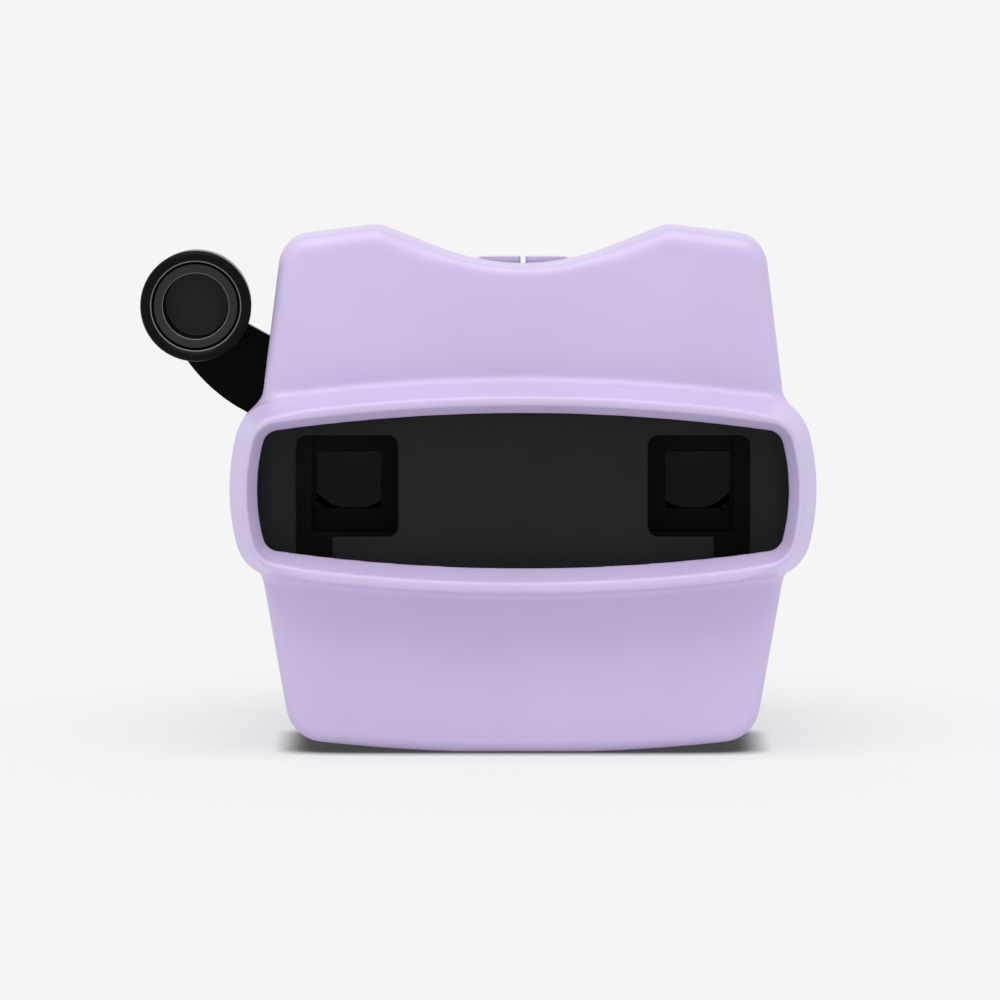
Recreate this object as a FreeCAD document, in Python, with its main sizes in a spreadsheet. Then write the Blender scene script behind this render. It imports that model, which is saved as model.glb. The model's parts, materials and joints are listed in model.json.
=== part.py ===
# Stereo slide viewer: a hand-held viewer for picture reels.
# Millimetres. X runs along the two eyes, Y from the light window towards the eyes, Z up.
# The origin lies on the flat base, midway between the eyes, in the plane where the two shells meet.

import FreeCAD, Part
import math
import os
import Sketcher

doc = FreeCAD.newDocument("StereoViewer")
Vector = FreeCAD.Vector

# Driving dimensions, kept in the sheet under these names
SIZES = {
    # Optics and picture reel
    "stereo_base": 63.5,
    "reel_diameter": 88.9,
    "reel_floor_gap": 1.55,
    "reel_gap": 2.5,
    "reel_clearance": 0.35,
    "picture_width": 11.7,
    "picture_height": 10.4,
    # Shells
    "wall": 2.0,
    "front_depth": 16.0,
    "rear_depth": 20.0,
    "rear_top_drop": 1.5,
    "waist_half_width": 46.8,
    "waist_reach": 17.0,
    "top_half_width": 43.4,
    "top_corner_above": 44.7,
    "horn_offset": 26.0,
    "horn_above": 46.85,
    "notch_half_width": 15.5,
    "notch_above": 39.7,
    "notch_rise": 3.0,
    "base_half_width": 41.8,
    "base_land_half": 12.0,
    "base_arc_radius": 330.0,
    "base_corner_radius": 7.0,
    "top_corner_radius": 5.5,
    "horn_radius": 5.0,
    "panel_edge_bevel": 1.8,
    "rear_edge_bevel": 2.5,
    "reel_slot_above": 17.5,
    # Window ring
    "ring_half_width": 52.7,
    "ring_half_height": 19.0,
    "ring_crown_radius": 320.0,
    "ring_side_radius": 40.0,
    "ring_corner_radius": 8.0,
    "ring_depth": 26.0,
    "ring_edge_bevel": 1.6,
    "bead_width": 5.0,
    "bead_depth": 5.0,
    "bead_slope": 1.9,
    # Thumb tab and slit behind the notch
    "tab_half_width": 10.0,
    "tab_above": 40.6,
    "tab_depth": 5.0,
    "tab_corner_radius": 3.0,
    "slit_width": 0.9,
    "slit_depth": 2.9,
    # Eyepiece block
    "eyepiece_depth": 54.0,
    "eyepiece_half_width": 46.0,
    "eyepiece_half_height": 18.0,
    "eyepiece_corner_radius": 7.0,
    "eyepiece_edge_bevel": 2.0,
    "socket_radius": 13.2,
    "socket_wall": 0.6,
    "nose_radius": 12.0,
    "nose_tilt": 28.0,
    "nose_wall": 1.6,
    # Lenses
    "lens_radius": 10.0,
    "lens_clear_radius": 9.0,
    "lens_clearance": 0.1,
    "lens_edge": 2.0,
    "lens_sag": 1.3,
    "lens_recess": 10.2,
    "lens_neck_length": 6.0,
    # Light baffle
    "baffle_gap": 3.1,
    "baffle_thickness": 1.5,
    "baffle_clearance": 0.25,
    "baffle_cove_radius": 7.2,
    "baffle_cove_inset": 4.5,
    "aperture_width": 18.4,
    "aperture_height": 18.4,
    "aperture_corner_radius": 1.9,
    "notch_slot_width": 6.5,
    "notch_slot_drop": 7.0,
    # Reel guide and reel gate
    "guide_thickness": 2.0,
    "gate_thickness": 2.0,
    "guide_inset": 0.5,
    "guide_top_above": 35.0,
    "guide_top_half_width": 41.8,
    "guide_shoulder_half_width": 40.6,
    "guide_shoulder_below": 34.4,
    "guide_foot_half_width": 30.7,
    "guide_foot_below": 43.0,
    "guide_window_reach": 6.5,
    "guide_window_half_height": 9.0,
    "cradle_thickness": 1.0,
    "cradle_start": 25.0,
    "cradle_end": 49.0,
    "rest_post_width": 3.4,
    "rest_post_offset": 13.0,
    "rest_post_rise": 14.5,
    "claw_slot_clearance": 0.9,
    "claw_slot_overrun": 3.0,
    "standoff_half_width": 2.8,
    "standoff_offset": 39.2,
    "standoff_gap": 0.5,
    "ledge_half_width": 6.0,
    "ledge_drop": 1.5,
    "ledge_rise": 4.0,
    # Light tunnels
    "tunnel_wall": 1.1,
    "tunnel_margin": 1.0,
    "tunnel_end_half": 9.4,
    "tunnel_flange": 2.6,
    "tunnel_flange_thickness": 1.2,
    # Advance lever
    "lever_gap": 1.75,
    "lever_thickness": 2.4,
    "lever_sweep": 52.0,
    "knob_reach": 67.3,
    "knob_angle": 29.1,
    "arm_above": 1.2,
    "arm_below": 12.9,
    "arm_end_radius": 9.6,
    "arm_upper_reach": 60.5,
    "arm_lower_reach": 52.0,
    "arm_flare_reach": 65.0,
    "arm_flare_below": 9.4,
    "arm_flare_radius": 30.0,
    "arm_bend_reach": 46.0,
    "neck_half_width": 6.0,
    "neck_reach": 24.0,
    "claw_angle": 42.0,
    "hub_radius": 9.0,
    "hub_boss_radius": 6.5,
    "aperture_clearance": 0.9,
    "slot_clearance": 0.8,
    # Pivot
    "pivot_radius": 4.5,
    "running_clearance": 0.06,
    "pivot_end_play": 0.15,
    "flange_radius": 6.2,
    "flange_thickness": 1.6,
    # Knob
    "knob_radius": 10.0,
    "knob_height": 8.4,
    "knob_bevel": 1.6,
    "knob_recess_radius": 6.2,
    "knob_recess_depth": 3.2,
    # Reel claw
    "claw_reach": 12.5,
    "claw_pin_reach": 22.0,
    "claw_pin_radius": 0.8,
    "claw_pin_height": 1.4,
    "claw_pin_clearance": 0.05,
    "claw_barrel_radius": 1.25,
    "claw_width": 4.4,
    "claw_thickness": 0.9,
    "claw_tip_width": 2.6,
    "claw_tip_thickness": 1.6,
    "claw_tip_gap": 0.25,
    "claw_tail": 5.5,
    "claw_lug_thickness": 1.4,
    "claw_lug_half_length": 1.5,
    "claw_side_clearance": 0.3,
    # Springs
    "return_wire": 0.7,
    "return_width": 0.8,
    "return_gap": 0.2,
    "return_radius": 7.75,
    "return_offset": 6.3,
    "return_leg": 15.0,
    "peg_angle": 196.0,
    "peg_width": 2.0,
    "peg_reach": 13.0,
    "leaf_thickness": 0.25,
    "claw_leaf_width": 3.0,
    "claw_leaf_half_length": 1.8,
    "press_leaf_width": 3.0,
    "press_leaf_offset": 24.0,
    "press_leaf_above": 25.0,
    "press_leaf_half_length": 7.0,
    "press_leaf_rise": 0.8,
    # Screws
    "screw_radius": 1.25,
    "screw_bore_clearance": 0.05,
    "screw_hole_clearance": 0.2,
    "screw_head_radius": 2.6,
    "screw_head_height": 1.1,
    "plate_screw_length": 7.0,
    "pivot_screw_length": 5.0,
    "case_screw_radius": 1.5,
    "case_screw_length": 11.0,
    "case_head_radius": 2.7,
    "case_head_height": 2.0,
    "case_boss_half_width": 3.8,
    "case_boss_offset": 35.0,
    "case_boss_height": 9.0,
    "case_well_floor": 3.5,
}


class Size:
    """A length, an angle or a ratio: its value, and the formula that gives it from the sheet."""

    def __init__(self, value, formula):
        self.value = float(value)
        self.formula = formula

    def __add__(self, other):
        return joined(self, "+", other, self.value + as_size(other).value)

    def __radd__(self, other):
        return as_size(other) + self

    def __sub__(self, other):
        return joined(self, "-", other, self.value - as_size(other).value)

    def __rsub__(self, other):
        return as_size(other) - self

    def __mul__(self, other):
        return joined(self, "*", other, self.value * as_size(other).value)

    def __rmul__(self, other):
        return as_size(other) * self

    def __truediv__(self, other):
        return joined(self, "/", other, self.value / as_size(other).value)

    def __neg__(self):
        return Size(-self.value, "(0 - %s)" % self.formula)

    def __float__(self):
        return self.value


def as_size(value):
    return value if isinstance(value, Size) else Size(value, repr(float(value)))


def joined(left, sign, right, value):
    return Size(value, "(%s %s %s)" % (left.formula, sign, as_size(right).formula))


def root(size):
    return Size(math.sqrt(size.value), "sqrt(%s)" % size.formula)


def cosine(angle):
    return Size(math.cos(math.radians(angle.value)), "cos(%s)" % angle.formula)


def sine(angle):
    return Size(math.sin(math.radians(angle.value)), "sin(%s)" % angle.formula)


class Sheet:
    """The spreadsheet of driving dimensions; each one is read as an attribute."""

    def __init__(self, sizes):
        self.cells = doc.addObject("Spreadsheet::Sheet", "Sizes")
        for row, (name, value) in enumerate(sizes.items(), start=1):
            self.cells.set("A%d" % row, name)
            self.cells.set("B%d" % row, repr(value))
            self.cells.setAlias("B%d" % row, name)
        doc.recompute()

    def __getattr__(self, name):
        return Size(self.cells.get(name), "Sizes.%s" % name)


S = Sheet(SIZES)


# Helpers for bound sizes, sketches and features

def bind(target, name, size):
    """Gives a property its value now and ties it to the sheet."""
    target.setExpression(name, as_size(size).formula)


def new_body(name):
    body = doc.addObject("PartDesign::Body", name)
    body.Label = name
    return body


def origin_plane(body, role):
    return next(item for item in body.Origin.OriginFeatures if item.Role == role)


def sketch_on(body, name, role, lift):
    """A sketch on one of the body's origin planes, lifted along the plane's normal."""
    sketch = body.newObject("Sketcher::SketchObject", name)
    sketch.AttachmentSupport = (origin_plane(body, role), "")
    sketch.MapMode = "FlatFace"
    bind(sketch, "AttachmentOffset.Base.z", lift)
    return sketch


def sketch_at(body, name, depth):
    """A sketch in a plane across Y at the given depth; its axes are X and Z, its normal is -Y."""
    return sketch_on(body, name, "XZ_Plane", -as_size(depth))


def add_bound(sketch, constraints):
    """Adds (kind, arguments, size or None) constraints and binds those that carry a size."""
    first = sketch.ConstraintCount
    made = []
    for kind, places, size in constraints:
        values = () if size is None else (as_size(size).value,)
        made.append(Sketcher.Constraint(kind, *places, *values))
    sketch.addConstraint(made)
    for number, (kind, places, size) in enumerate(constraints, start=first):
        if size is not None:
            bind(sketch, "Constraints[%d]" % number, size)


def at_point(geometry, point, x, z):
    return [("DistanceX", (-1, 1, geometry, point), x), ("DistanceY", (-1, 1, geometry, point), z)]


def draw_polygon(sketch, corners, arcs=None):
    """A closed outline, counter-clockwise; arcs gives a radius for the edge after a corner.

    A positive radius bulges out of the outline and a negative one into it.
    """
    arcs = arcs or {}
    first = sketch.GeometryCount
    count = len(corners)
    points = [Vector(float(as_size(x)), float(as_size(z)), 0) for x, z in corners]
    edges = []
    ends = []
    for number, start in enumerate(points):
        finish = points[(number + 1) % count]
        radius = arcs.get(number)
        if radius is None:
            edges.append(Part.LineSegment(start, finish))
            ends.append((1, 2))
            continue
        outward = as_size(radius).value > 0
        reach = abs(as_size(radius).value)
        low, high = (start, finish) if outward else (finish, start)
        chord = high - low
        lift = math.sqrt(reach ** 2 - (chord.Length / 2) ** 2)
        centre = (low + high) / 2 + Vector(-chord.y, chord.x, 0) / chord.Length * lift
        circle = Part.Circle(centre, Vector(0, 0, 1), reach)
        edges.append(Part.ArcOfCircle(circle, circle.parameter(low), circle.parameter(high)))
        ends.append((1, 2) if outward else (2, 1))
    sketch.addGeometry(edges, False)
    constraints = []
    for number in range(count):
        following = (number + 1) % count
        constraints.append(
            ("Coincident", (first + number, ends[number][1], first + following, ends[following][0]), None))
        constraints += at_point(first + number, ends[number][0], *corners[number])
        if number in arcs:
            radius = as_size(arcs[number])
            radius = radius if radius.value > 0 else -radius
            constraints.append(("Radius", (first + number,), radius))
    add_bound(sketch, constraints)


def draw_rectangle(sketch, left, right, low, high):
    draw_polygon(sketch, [(left, low), (right, low), (right, high), (left, high)])


def draw_circle(sketch, x, z, radius):
    first = sketch.GeometryCount
    centre = Vector(float(as_size(x)), float(as_size(z)), 0)
    sketch.addGeometry(Part.Circle(centre, Vector(0, 0, 1), as_size(radius).value), False)
    add_bound(sketch, at_point(first, 3, x, z) + [("Radius", (first,), radius)])


def draw_barrel(sketch, half_width, half_height, inset):
    """The rounded screen outline round the eye height: four crowned sides and four round corners."""
    crown = S.ring_crown_radius - inset
    side = S.ring_side_radius - inset
    corner = S.ring_corner_radius - inset
    middle = eye_height
    crown_drop = crown - half_height
    side_shift = side - half_width
    top = Vector(0, -crown_drop.value, 0)
    right = Vector(-side_shift.value, 0, 0)
    crown_reach = crown.value - corner.value
    side_reach = side.value - corner.value
    apart = right - top
    along = (crown_reach ** 2 - side_reach ** 2 + apart.Length ** 2) / (2 * apart.Length)
    across = math.sqrt(crown_reach ** 2 - along ** 2)
    forward = apart / apart.Length
    bend = top + forward * along + Vector(forward.y, -forward.x, 0) * across
    crown_tilt = math.atan2(bend.x - top.x, bend.y - top.y)
    side_tilt = math.atan2(bend.y - right.y, bend.x - right.x)
    turn = math.pi / 2
    first = sketch.GeometryCount
    height = middle.value
    arcs = []
    for quarter, (centre, radius, tilt) in enumerate(
            [(right, side, side_tilt), (top, crown, crown_tilt)] * 2):
        sign = 1 if quarter < 2 else -1
        angle = quarter * turn
        middle_point = Vector(sign * centre.x, height + sign * centre.y, 0)
        circle = Part.Circle(middle_point, Vector(0, 0, 1), radius.value)
        arcs.append(Part.ArcOfCircle(circle, angle - tilt, angle + tilt))
        upper = 1 if quarter in (0, 1) else -1
        outer = 1 if quarter in (0, 3) else -1
        knee = Part.Circle(Vector(outer * bend.x, height + upper * bend.y, 0), Vector(0, 0, 1), corner.value)
        spread = (side_tilt, turn - crown_tilt) if quarter % 2 == 0 else (crown_tilt, turn - side_tilt)
        arcs.append(Part.ArcOfCircle(knee, angle + spread[0], angle + spread[1]))
    sketch.addGeometry(arcs, False)
    centres = {
        0: (-side_shift, middle, side),
        2: (as_size(0), middle - crown_drop, crown),
        4: (side_shift, middle, side),
        6: (as_size(0), middle + crown_drop, crown),
    }
    constraints = []
    for number in range(8):
        constraints.append(("Tangent", (first + number, 2, first + (number + 1) % 8, 1), None))
    for number in range(8):
        if number in centres:
            x, z, radius = centres[number]
            constraints += at_point(first + number, 3, x, z)
            constraints.append(("Radius", (first + number,), radius))
        else:
            constraints.append(("Radius", (first + number,), corner))
    add_bound(sketch, constraints)


def volume_of(body):
    return body.Tip.Shape.Volume if body.Tip is not None else 0.0


def settle(body, name, before, grows):
    doc.recompute()
    after = volume_of(body)
    if (after > before + 1e-6) != grows or abs(after - before) < 1e-6:
        change = "from %.3f to %.3f" % (before, after)
        raise RuntimeError("%s of %s changes the volume %s" % (name, body.Label, change))


def pad(body, sketch, name, length, backwards=False, both_ways=False):
    """Adds the sketch's area along its normal, or against it when backwards."""
    before = volume_of(body)
    feature = body.newObject("PartDesign::Pad", name)
    feature.Profile = sketch
    feature.Reversed = backwards
    feature.Midplane = both_ways
    bind(feature, "Length", length)
    settle(body, name, before, True)
    return feature


def pocket(body, sketch, name, length, backwards=False, both_ways=False):
    """Cuts the sketch's area against its normal, or along it when backwards."""
    before = volume_of(body)
    feature = body.newObject("PartDesign::Pocket", name)
    feature.Profile = sketch
    feature.Reversed = backwards
    feature.Midplane = both_ways
    bind(feature, "Length", length)
    settle(body, name, before, False)
    return feature


def loft(body, name, sketches, cuts=False):
    before = volume_of(body)
    kind = "SubtractiveLoft" if cuts else "AdditiveLoft"
    feature = body.newObject("PartDesign::" + kind, name)
    feature.Profile = sketches[0]
    feature.Sections = sketches[1:]
    feature.Ruled = True
    settle(body, name, before, not cuts)
    return feature


def fillet(body, name, radius, edges, grows=False):
    before = volume_of(body)
    base = body.Tip
    feature = body.newObject("PartDesign::Fillet", name)
    feature.Base = (base, edges)
    bind(feature, "Radius", radius)
    settle(body, name, before, grows)
    return feature


def chamfer(body, name, size, edges):
    before = volume_of(body)
    base = body.Tip
    feature = body.newObject("PartDesign::Chamfer", name)
    feature.Base = (base, edges)
    bind(feature, "Size", size)
    settle(body, name, before, False)
    return feature


def edges_near(body, points, slack=0.02):
    """Names of the edges that pass within slack of one of the points."""
    names = []
    for number, edge in enumerate(body.Tip.Shape.Edges, start=1):
        for point in points:
            spot = Part.Vertex(*[float(as_size(value)) for value in point])
            if edge.distToShape(spot)[0] < slack:
                names.append("Edge%d" % number)
                break
    return names


def edges_across(body, depth, accept=None):
    """Names of the edges that lie in the plane across Y at this depth."""
    names = []
    level = float(as_size(depth))
    for number, edge in enumerate(body.Tip.Shape.Edges, start=1):
        box = edge.BoundBox
        if abs(box.YMin - level) < 1e-4 and abs(box.YMax - level) < 1e-4:
            if accept is None or accept(edge):
                names.append("Edge%d" % number)
    return names


# Planes across Y, from the window towards the eyes
half_gap = S.reel_gap / 2
guide_back = -half_gap
guide_front = guide_back - S.guide_thickness
lever_back = guide_front - S.lever_gap
lever_front = lever_back - S.lever_thickness
baffle_back = lever_front - S.baffle_gap
baffle_front = baffle_back - S.baffle_thickness
bead_back = S.bead_depth - S.ring_depth
gate_front = half_gap
gate_back = gate_front + S.gate_thickness
lens_seat = S.eyepiece_depth - S.lens_recess
neck_end = lens_seat - S.lens_neck_length
half_stereo = S.stereo_base / 2

# Heights that follow the reel, which stands just above the floor of the shells
eye_height = S.wall + S.reel_diameter / 2 + S.reel_floor_gap
notch_height = eye_height + S.notch_above
top_corner_height = eye_height + S.top_corner_above
horn_height = eye_height + S.horn_above
tab_height = eye_height + S.tab_above
plate_foot = eye_height - S.guide_foot_below

# Screws and their holes
screw_bore = S.screw_radius + S.screw_bore_clearance
screw_hole = S.screw_radius + S.screw_hole_clearance
case_bore = S.case_screw_radius + S.screw_bore_clearance
case_hole = S.case_screw_radius + S.screw_hole_clearance
nose_start = S.eyepiece_depth - S.nose_radius / sine(S.nose_tilt) - S.nose_wall
cove_reach = S.ring_half_width - S.baffle_cove_inset
cove_turn = baffle_front - S.baffle_cove_radius
pin_depth = lever_front - S.claw_pin_height
post_end = lever_front - S.pivot_end_play


def sag(radius, half_chord):
    return radius - root(radius * radius - half_chord * half_chord)


base_corner_height = sag(S.base_arc_radius, S.base_half_width) - sag(S.base_arc_radius, S.base_land_half)
notch_radius = (S.notch_half_width * S.notch_half_width + S.notch_rise * S.notch_rise) / (2 * S.notch_rise)


# Shells

def draw_slab(sketch, inset, drop=0):
    """The slab's outline: convex foot, flared sides, two horns and the finger notch."""
    above = inset + drop
    notch_edge = notch_height + S.notch_rise - above
    right = [
        (S.base_land_half, inset),
        (S.base_half_width - inset, base_corner_height + inset),
        (S.waist_half_width - inset, eye_height - S.waist_reach),
        (S.waist_half_width - inset, eye_height + S.waist_reach),
        (S.top_half_width - inset, top_corner_height - above),
        (S.horn_offset, horn_height - above),
        (S.notch_half_width, notch_edge),
    ]
    left = [(-x, z) for x, z in reversed(right)]
    arcs = {0: S.base_arc_radius, 6: -notch_radius, 12: S.base_arc_radius}
    draw_polygon(sketch, right + left, arcs)


def slab_corners(inset, depth, drop=0):
    """Points on the slab's edges along Y: both base corners, both top corners, both horns."""
    above = inset + drop
    places = [
        (S.base_half_width - inset, base_corner_height + inset),
        (S.top_half_width - inset, top_corner_height - above),
        (S.horn_offset, horn_height - above),
    ]
    return [[(-x, depth, z), (x, depth, z)] for x, z in places]


def round_slab(body, depth, drop=0):
    base, top, horn = slab_corners(as_size(0), depth, drop)
    fillet(body, "base_corners", S.base_corner_radius, edges_near(body, base))
    fillet(body, "top_corners", S.top_corner_radius, edges_near(body, top))
    fillet(body, "horns", S.horn_radius, edges_near(body, horn))


def bosses(body, name, places, radius, near, far):
    """Round bosses along Y from their free ends to the wall that carries them."""
    sketch = sketch_at(body, name + "_outline", near)
    for x, z in places:
        draw_circle(sketch, x, z, radius)
    backwards = float(far) > float(near)
    pad(body, sketch, name, far - near if backwards else near - far, backwards)


def bores(body, name, places, radius, mouth, end):
    """Round holes along Y from their mouths to their ends."""
    sketch = sketch_at(body, name + "_outline", mouth)
    for x, z in places:
        draw_circle(sketch, x, z, radius)
    backwards = float(end) < float(mouth)
    pocket(body, sketch, name, mouth - end if backwards else end - mouth, backwards)


def posts(body, name, places, half_width, near, far):
    """Square posts along Y from their free ends to the wall that carries them."""
    sketch = sketch_at(body, name + "_outline", near)
    draw_boxes(sketch, places, half_width, half_width)
    backwards = float(far) > float(near)
    pad(body, sketch, name, far - near if backwards else near - far, backwards)


def standoff_places():
    """Where both plates are screwed on, just above the lever's slot."""
    height = lever_high_end() + S.standoff_gap + S.standoff_half_width
    return [(way * S.standoff_offset, height) for way in (-1, 1)]


def add_ledge(body, near, far):
    """A block at the foot of the shell that the plate's lower edge bears on."""
    sketch = sketch_at(body, "ledge_outline", near)
    draw_rectangle(sketch, -S.ledge_half_width, S.ledge_half_width,
                   plate_foot - S.ledge_drop, plate_foot + S.ledge_rise)
    backwards = float(far) > float(near)
    pad(body, sketch, "ledge", far - near if backwards else near - far, backwards)


def case_places():
    return [(way * S.case_boss_offset, S.case_boss_height) for way in (-1, 1)]


def open_reel_slot(body, backwards):
    """Cuts the rim back where the reel passes between the shells."""
    sketch = sketch_at(body, "reel_slot_outline", 0)
    side = 2 * S.ring_half_width
    draw_rectangle(sketch, -side, side, eye_height + S.reel_slot_above, 2 * horn_height)
    pocket(body, sketch, "reel_slot", half_gap, backwards)


def trim_wings(body, name, half_width, side, turn):
    """Rounds the ring's ends back behind the baffle's coves, down to the slab's sides."""
    start = cove_reach - S.baffle_cove_radius
    radius = half_width - start
    end = turn + root(radius * radius - (side - start) * (side - start))
    beyond = 2 * S.ring_half_width
    sketch = sketch_on(body, name + "_outline", "XY_Plane", eye_height)
    corners = [(half_width, turn), (beyond, turn), (beyond, S.wall), (side, S.wall), (side, end)]
    draw_polygon(sketch, corners, {4: -radius})
    draw_polygon(sketch, mirrored(corners), {4: -radius})
    pocket(body, sketch, name, 2 * S.ring_half_height, False, True)


def make_ring():
    """The window ring's outer form, which is joined to the front shell."""
    body = new_body("window_ring")
    outline = sketch_at(body, "ring_outline", 0)
    draw_barrel(outline, S.ring_half_width, S.ring_half_height, as_size(0))
    pad(body, outline, "ring", S.ring_depth)
    chamfer(body, "ring_edge", S.ring_edge_bevel, edges_across(body, -S.ring_depth))
    trim_wings(body, "wings", S.ring_half_width, S.waist_half_width, cove_turn)
    return body


def make_ring_core():
    """The space inside the window ring, which is cut from the front shell."""
    body = new_body("ring_core")
    outline = sketch_at(body, "core_outline", as_size(0))
    draw_barrel(outline, S.ring_half_width - S.wall, S.ring_half_height - S.wall, S.wall)
    pad(body, outline, "core", S.ring_depth - S.bead_depth)
    trim_wings(body, "core_wings", S.ring_half_width - S.wall, S.waist_half_width - S.wall, cove_turn)
    return body


def make_front_shell():
    body = new_body("front_shell")
    panel = -S.front_depth
    crest = -S.ring_depth
    outline = sketch_at(body, "slab_outline", 0)
    draw_slab(outline, as_size(0))
    pad(body, outline, "slab", S.front_depth)
    round_slab(body, panel / 2)
    chamfer(body, "panel_edge", S.panel_edge_bevel, edges_across(body, panel))
    combine(body, make_ring(), "ring", "Fuse")

    hollow = sketch_at(body, "slab_hollow_outline", 0)
    draw_slab(hollow, S.wall)
    pocket(body, hollow, "slab_hollow", S.front_depth - S.wall, True)
    combine(body, make_ring_core(), "ring_hollow", "Cut")

    mouth = sketch_at(body, "window_mouth", crest)
    mouth_inset = S.bead_width - S.bead_slope
    draw_barrel(mouth, S.ring_half_width - mouth_inset, S.ring_half_height - mouth_inset, mouth_inset)
    throat = sketch_at(body, "window_throat", bead_back)
    draw_barrel(throat, S.ring_half_width - S.bead_width, S.ring_half_height - S.bead_width, S.bead_width)
    loft(body, "window", [mouth, throat], True)

    panel_back = S.wall - S.front_depth
    posts(body, "standoffs", standoff_places(), S.standoff_half_width, guide_front, panel_back - S.wall / 2)
    bores(body, "standoff_bores", standoff_places(), screw_bore, guide_front, panel_back)
    add_ledge(body, guide_front, panel_back - S.wall / 2)
    posts(body, "case_bosses", case_places(), S.case_boss_half_width, as_size(0), panel_back - S.wall / 2)
    bores(body, "case_bores", case_places(), case_bore, as_size(0), panel_back)
    make_lever_slot(body)
    open_reel_slot(body, True)
    return body


def combine(body, tool, name, kind):
    """Joins another body to this one, or cuts it out."""
    before = volume_of(body)
    feature = body.newObject("PartDesign::Boolean", name)
    feature.Type = kind
    feature.addObject(tool)
    settle(body, name, before, kind == "Fuse")


def make_lever_slot(body):
    """The closed slot in the left side through which the lever sweeps."""
    front = lever_front - S.slot_clearance
    back = lever_back + S.slot_clearance
    low = lever_low_end()
    high = lever_high_end()
    start = S.base_half_width - S.wall - S.slot_clearance
    sketch = sketch_on(body, "lever_slot_outline", "YZ_Plane", -start)
    draw_polygon(sketch, [(front, low), (back, low), (back, high), (front, high)])
    pocket(body, sketch, "lever_slot", S.ring_half_width)


def lever_high_end():
    """Height of the arm's upper edge where it leaves the side, with clearance."""
    rise = S.waist_half_width * sine(S.knob_angle) / cosine(S.knob_angle)
    return eye_height + rise + S.arm_above / cosine(S.knob_angle) + 2 * S.slot_clearance


def lever_low_end():
    """Height of the arm's lower edge at the end of its sweep, with clearance."""
    low_angle = S.lever_sweep - S.knob_angle
    fall = S.waist_half_width * sine(low_angle) / cosine(low_angle)
    return eye_height - fall - S.arm_below / cosine(low_angle) - 2 * S.slot_clearance


def make_rear_shell():
    body = new_body("rear_shell")
    none = as_size(0)
    slab = sketch_at(body, "slab_outline", none)
    draw_slab(slab, none, S.rear_top_drop)
    pad(body, slab, "slab", S.rear_depth, True)
    round_slab(body, S.rear_depth / 2, S.rear_top_drop)
    chamfer(body, "rear_edge", S.rear_edge_bevel, edges_across(body, S.rear_depth))
    make_thumb_tab(body)
    block = sketch_at(body, "block_outline", none)
    draw_block(block, none)
    pad(body, block, "block", S.eyepiece_depth, True)
    chamfer(body, "block_edge", S.eyepiece_edge_bevel, edges_across(body, S.eyepiece_depth))

    hollow = sketch_at(body, "slab_hollow_outline", none)
    draw_slab(hollow, S.wall, S.rear_top_drop)
    pocket(body, hollow, "slab_hollow", S.rear_depth - S.wall)
    inside = sketch_at(body, "block_hollow_outline", none)
    draw_block(inside, S.wall)
    pocket(body, inside, "block_hollow", nose_start)
    around = sketch_at(body, "nose_hollow_outline", nose_start)
    draw_block(around, S.wall, S.nose_radius / cosine(S.nose_tilt) + S.nose_wall)
    pocket(body, around, "nose_hollow", S.eyepiece_depth - S.wall - nose_start)
    make_sockets(body)
    make_nose_relief(body)
    rear_wall = S.rear_depth - S.wall / 2
    posts(body, "gate_posts", standoff_places(), S.standoff_half_width, gate_back, rear_wall)
    bores(body, "gate_bores", standoff_places(), screw_bore, gate_back, S.rear_depth - S.wall)
    add_ledge(body, gate_back, rear_wall)
    posts(body, "case_bosses", case_places(), S.case_boss_half_width, none, rear_wall)
    bores(body, "case_wells", case_places(), S.case_head_radius + S.screw_hole_clearance,
          S.rear_depth, S.case_well_floor)
    bores(body, "case_holes", case_places(), case_hole, S.case_well_floor, none)
    open_reel_slot(body, False)
    make_slit(body)
    return body


def draw_block(sketch, inset, nose=None):
    """The eyepiece block's outline, round at its corners; nose gives the radius of an arch in its floor."""
    side = S.eyepiece_half_width - inset
    half_height = S.eyepiece_half_height - inset
    corner = S.eyepiece_corner_radius - inset
    low = eye_height - half_height
    high = eye_height + half_height
    right = [(side - corner, low), (side, low + corner), (side, high - corner), (side - corner, high)]
    arcs = {0: corner, 2: corner}
    if nose is not None:
        right.insert(0, (root(nose * nose - inset * inset), low))
        arcs = {1: corner, 3: corner}
    count = len(right)
    arcs.update({2 * count - 2 - number: radius for number, radius in list(arcs.items())})
    if nose is not None:
        arcs[2 * count - 1] = -nose
    draw_polygon(sketch, both_halves(right), arcs)


def make_sockets(body):
    """Two funnel-shaped eye sockets, each in a square housing that holds its lens."""
    bore_radius = S.lens_radius + S.lens_clearance
    beyond = S.eyepiece_depth + S.wall
    eyes = [(way * half_stereo, eye_height) for way in (-1, 1)]
    posts(body, "lens_housings", eyes, S.socket_radius + S.socket_wall, neck_end, S.eyepiece_depth - S.wall / 2)
    for way, name in ((-1, "left"), (1, "right")):
        opening = [(0, neck_end - S.wall), (bore_radius, neck_end - S.wall), (bore_radius, lens_seat),
                   (S.lens_clear_radius, lens_seat), (S.socket_radius, S.eyepiece_depth),
                   (S.socket_radius, beyond), (0, beyond)]
        turned(body, "opening_" + name, opening, way * half_stereo, True)


def turned(body, name, profile, axis_x, cuts=False, height=None):
    """Revolves an (outward, depth) profile about an axis along Y."""
    sketch = sketch_on(body, name + "_profile", "XY_Plane", eye_height if height is None else height)
    corners = [(axis_x + outward, depth) for outward, depth in profile]
    draw_polygon(sketch, corners)
    revolve(body, sketch, name, add_axis(sketch, axis_x), cuts)


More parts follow.
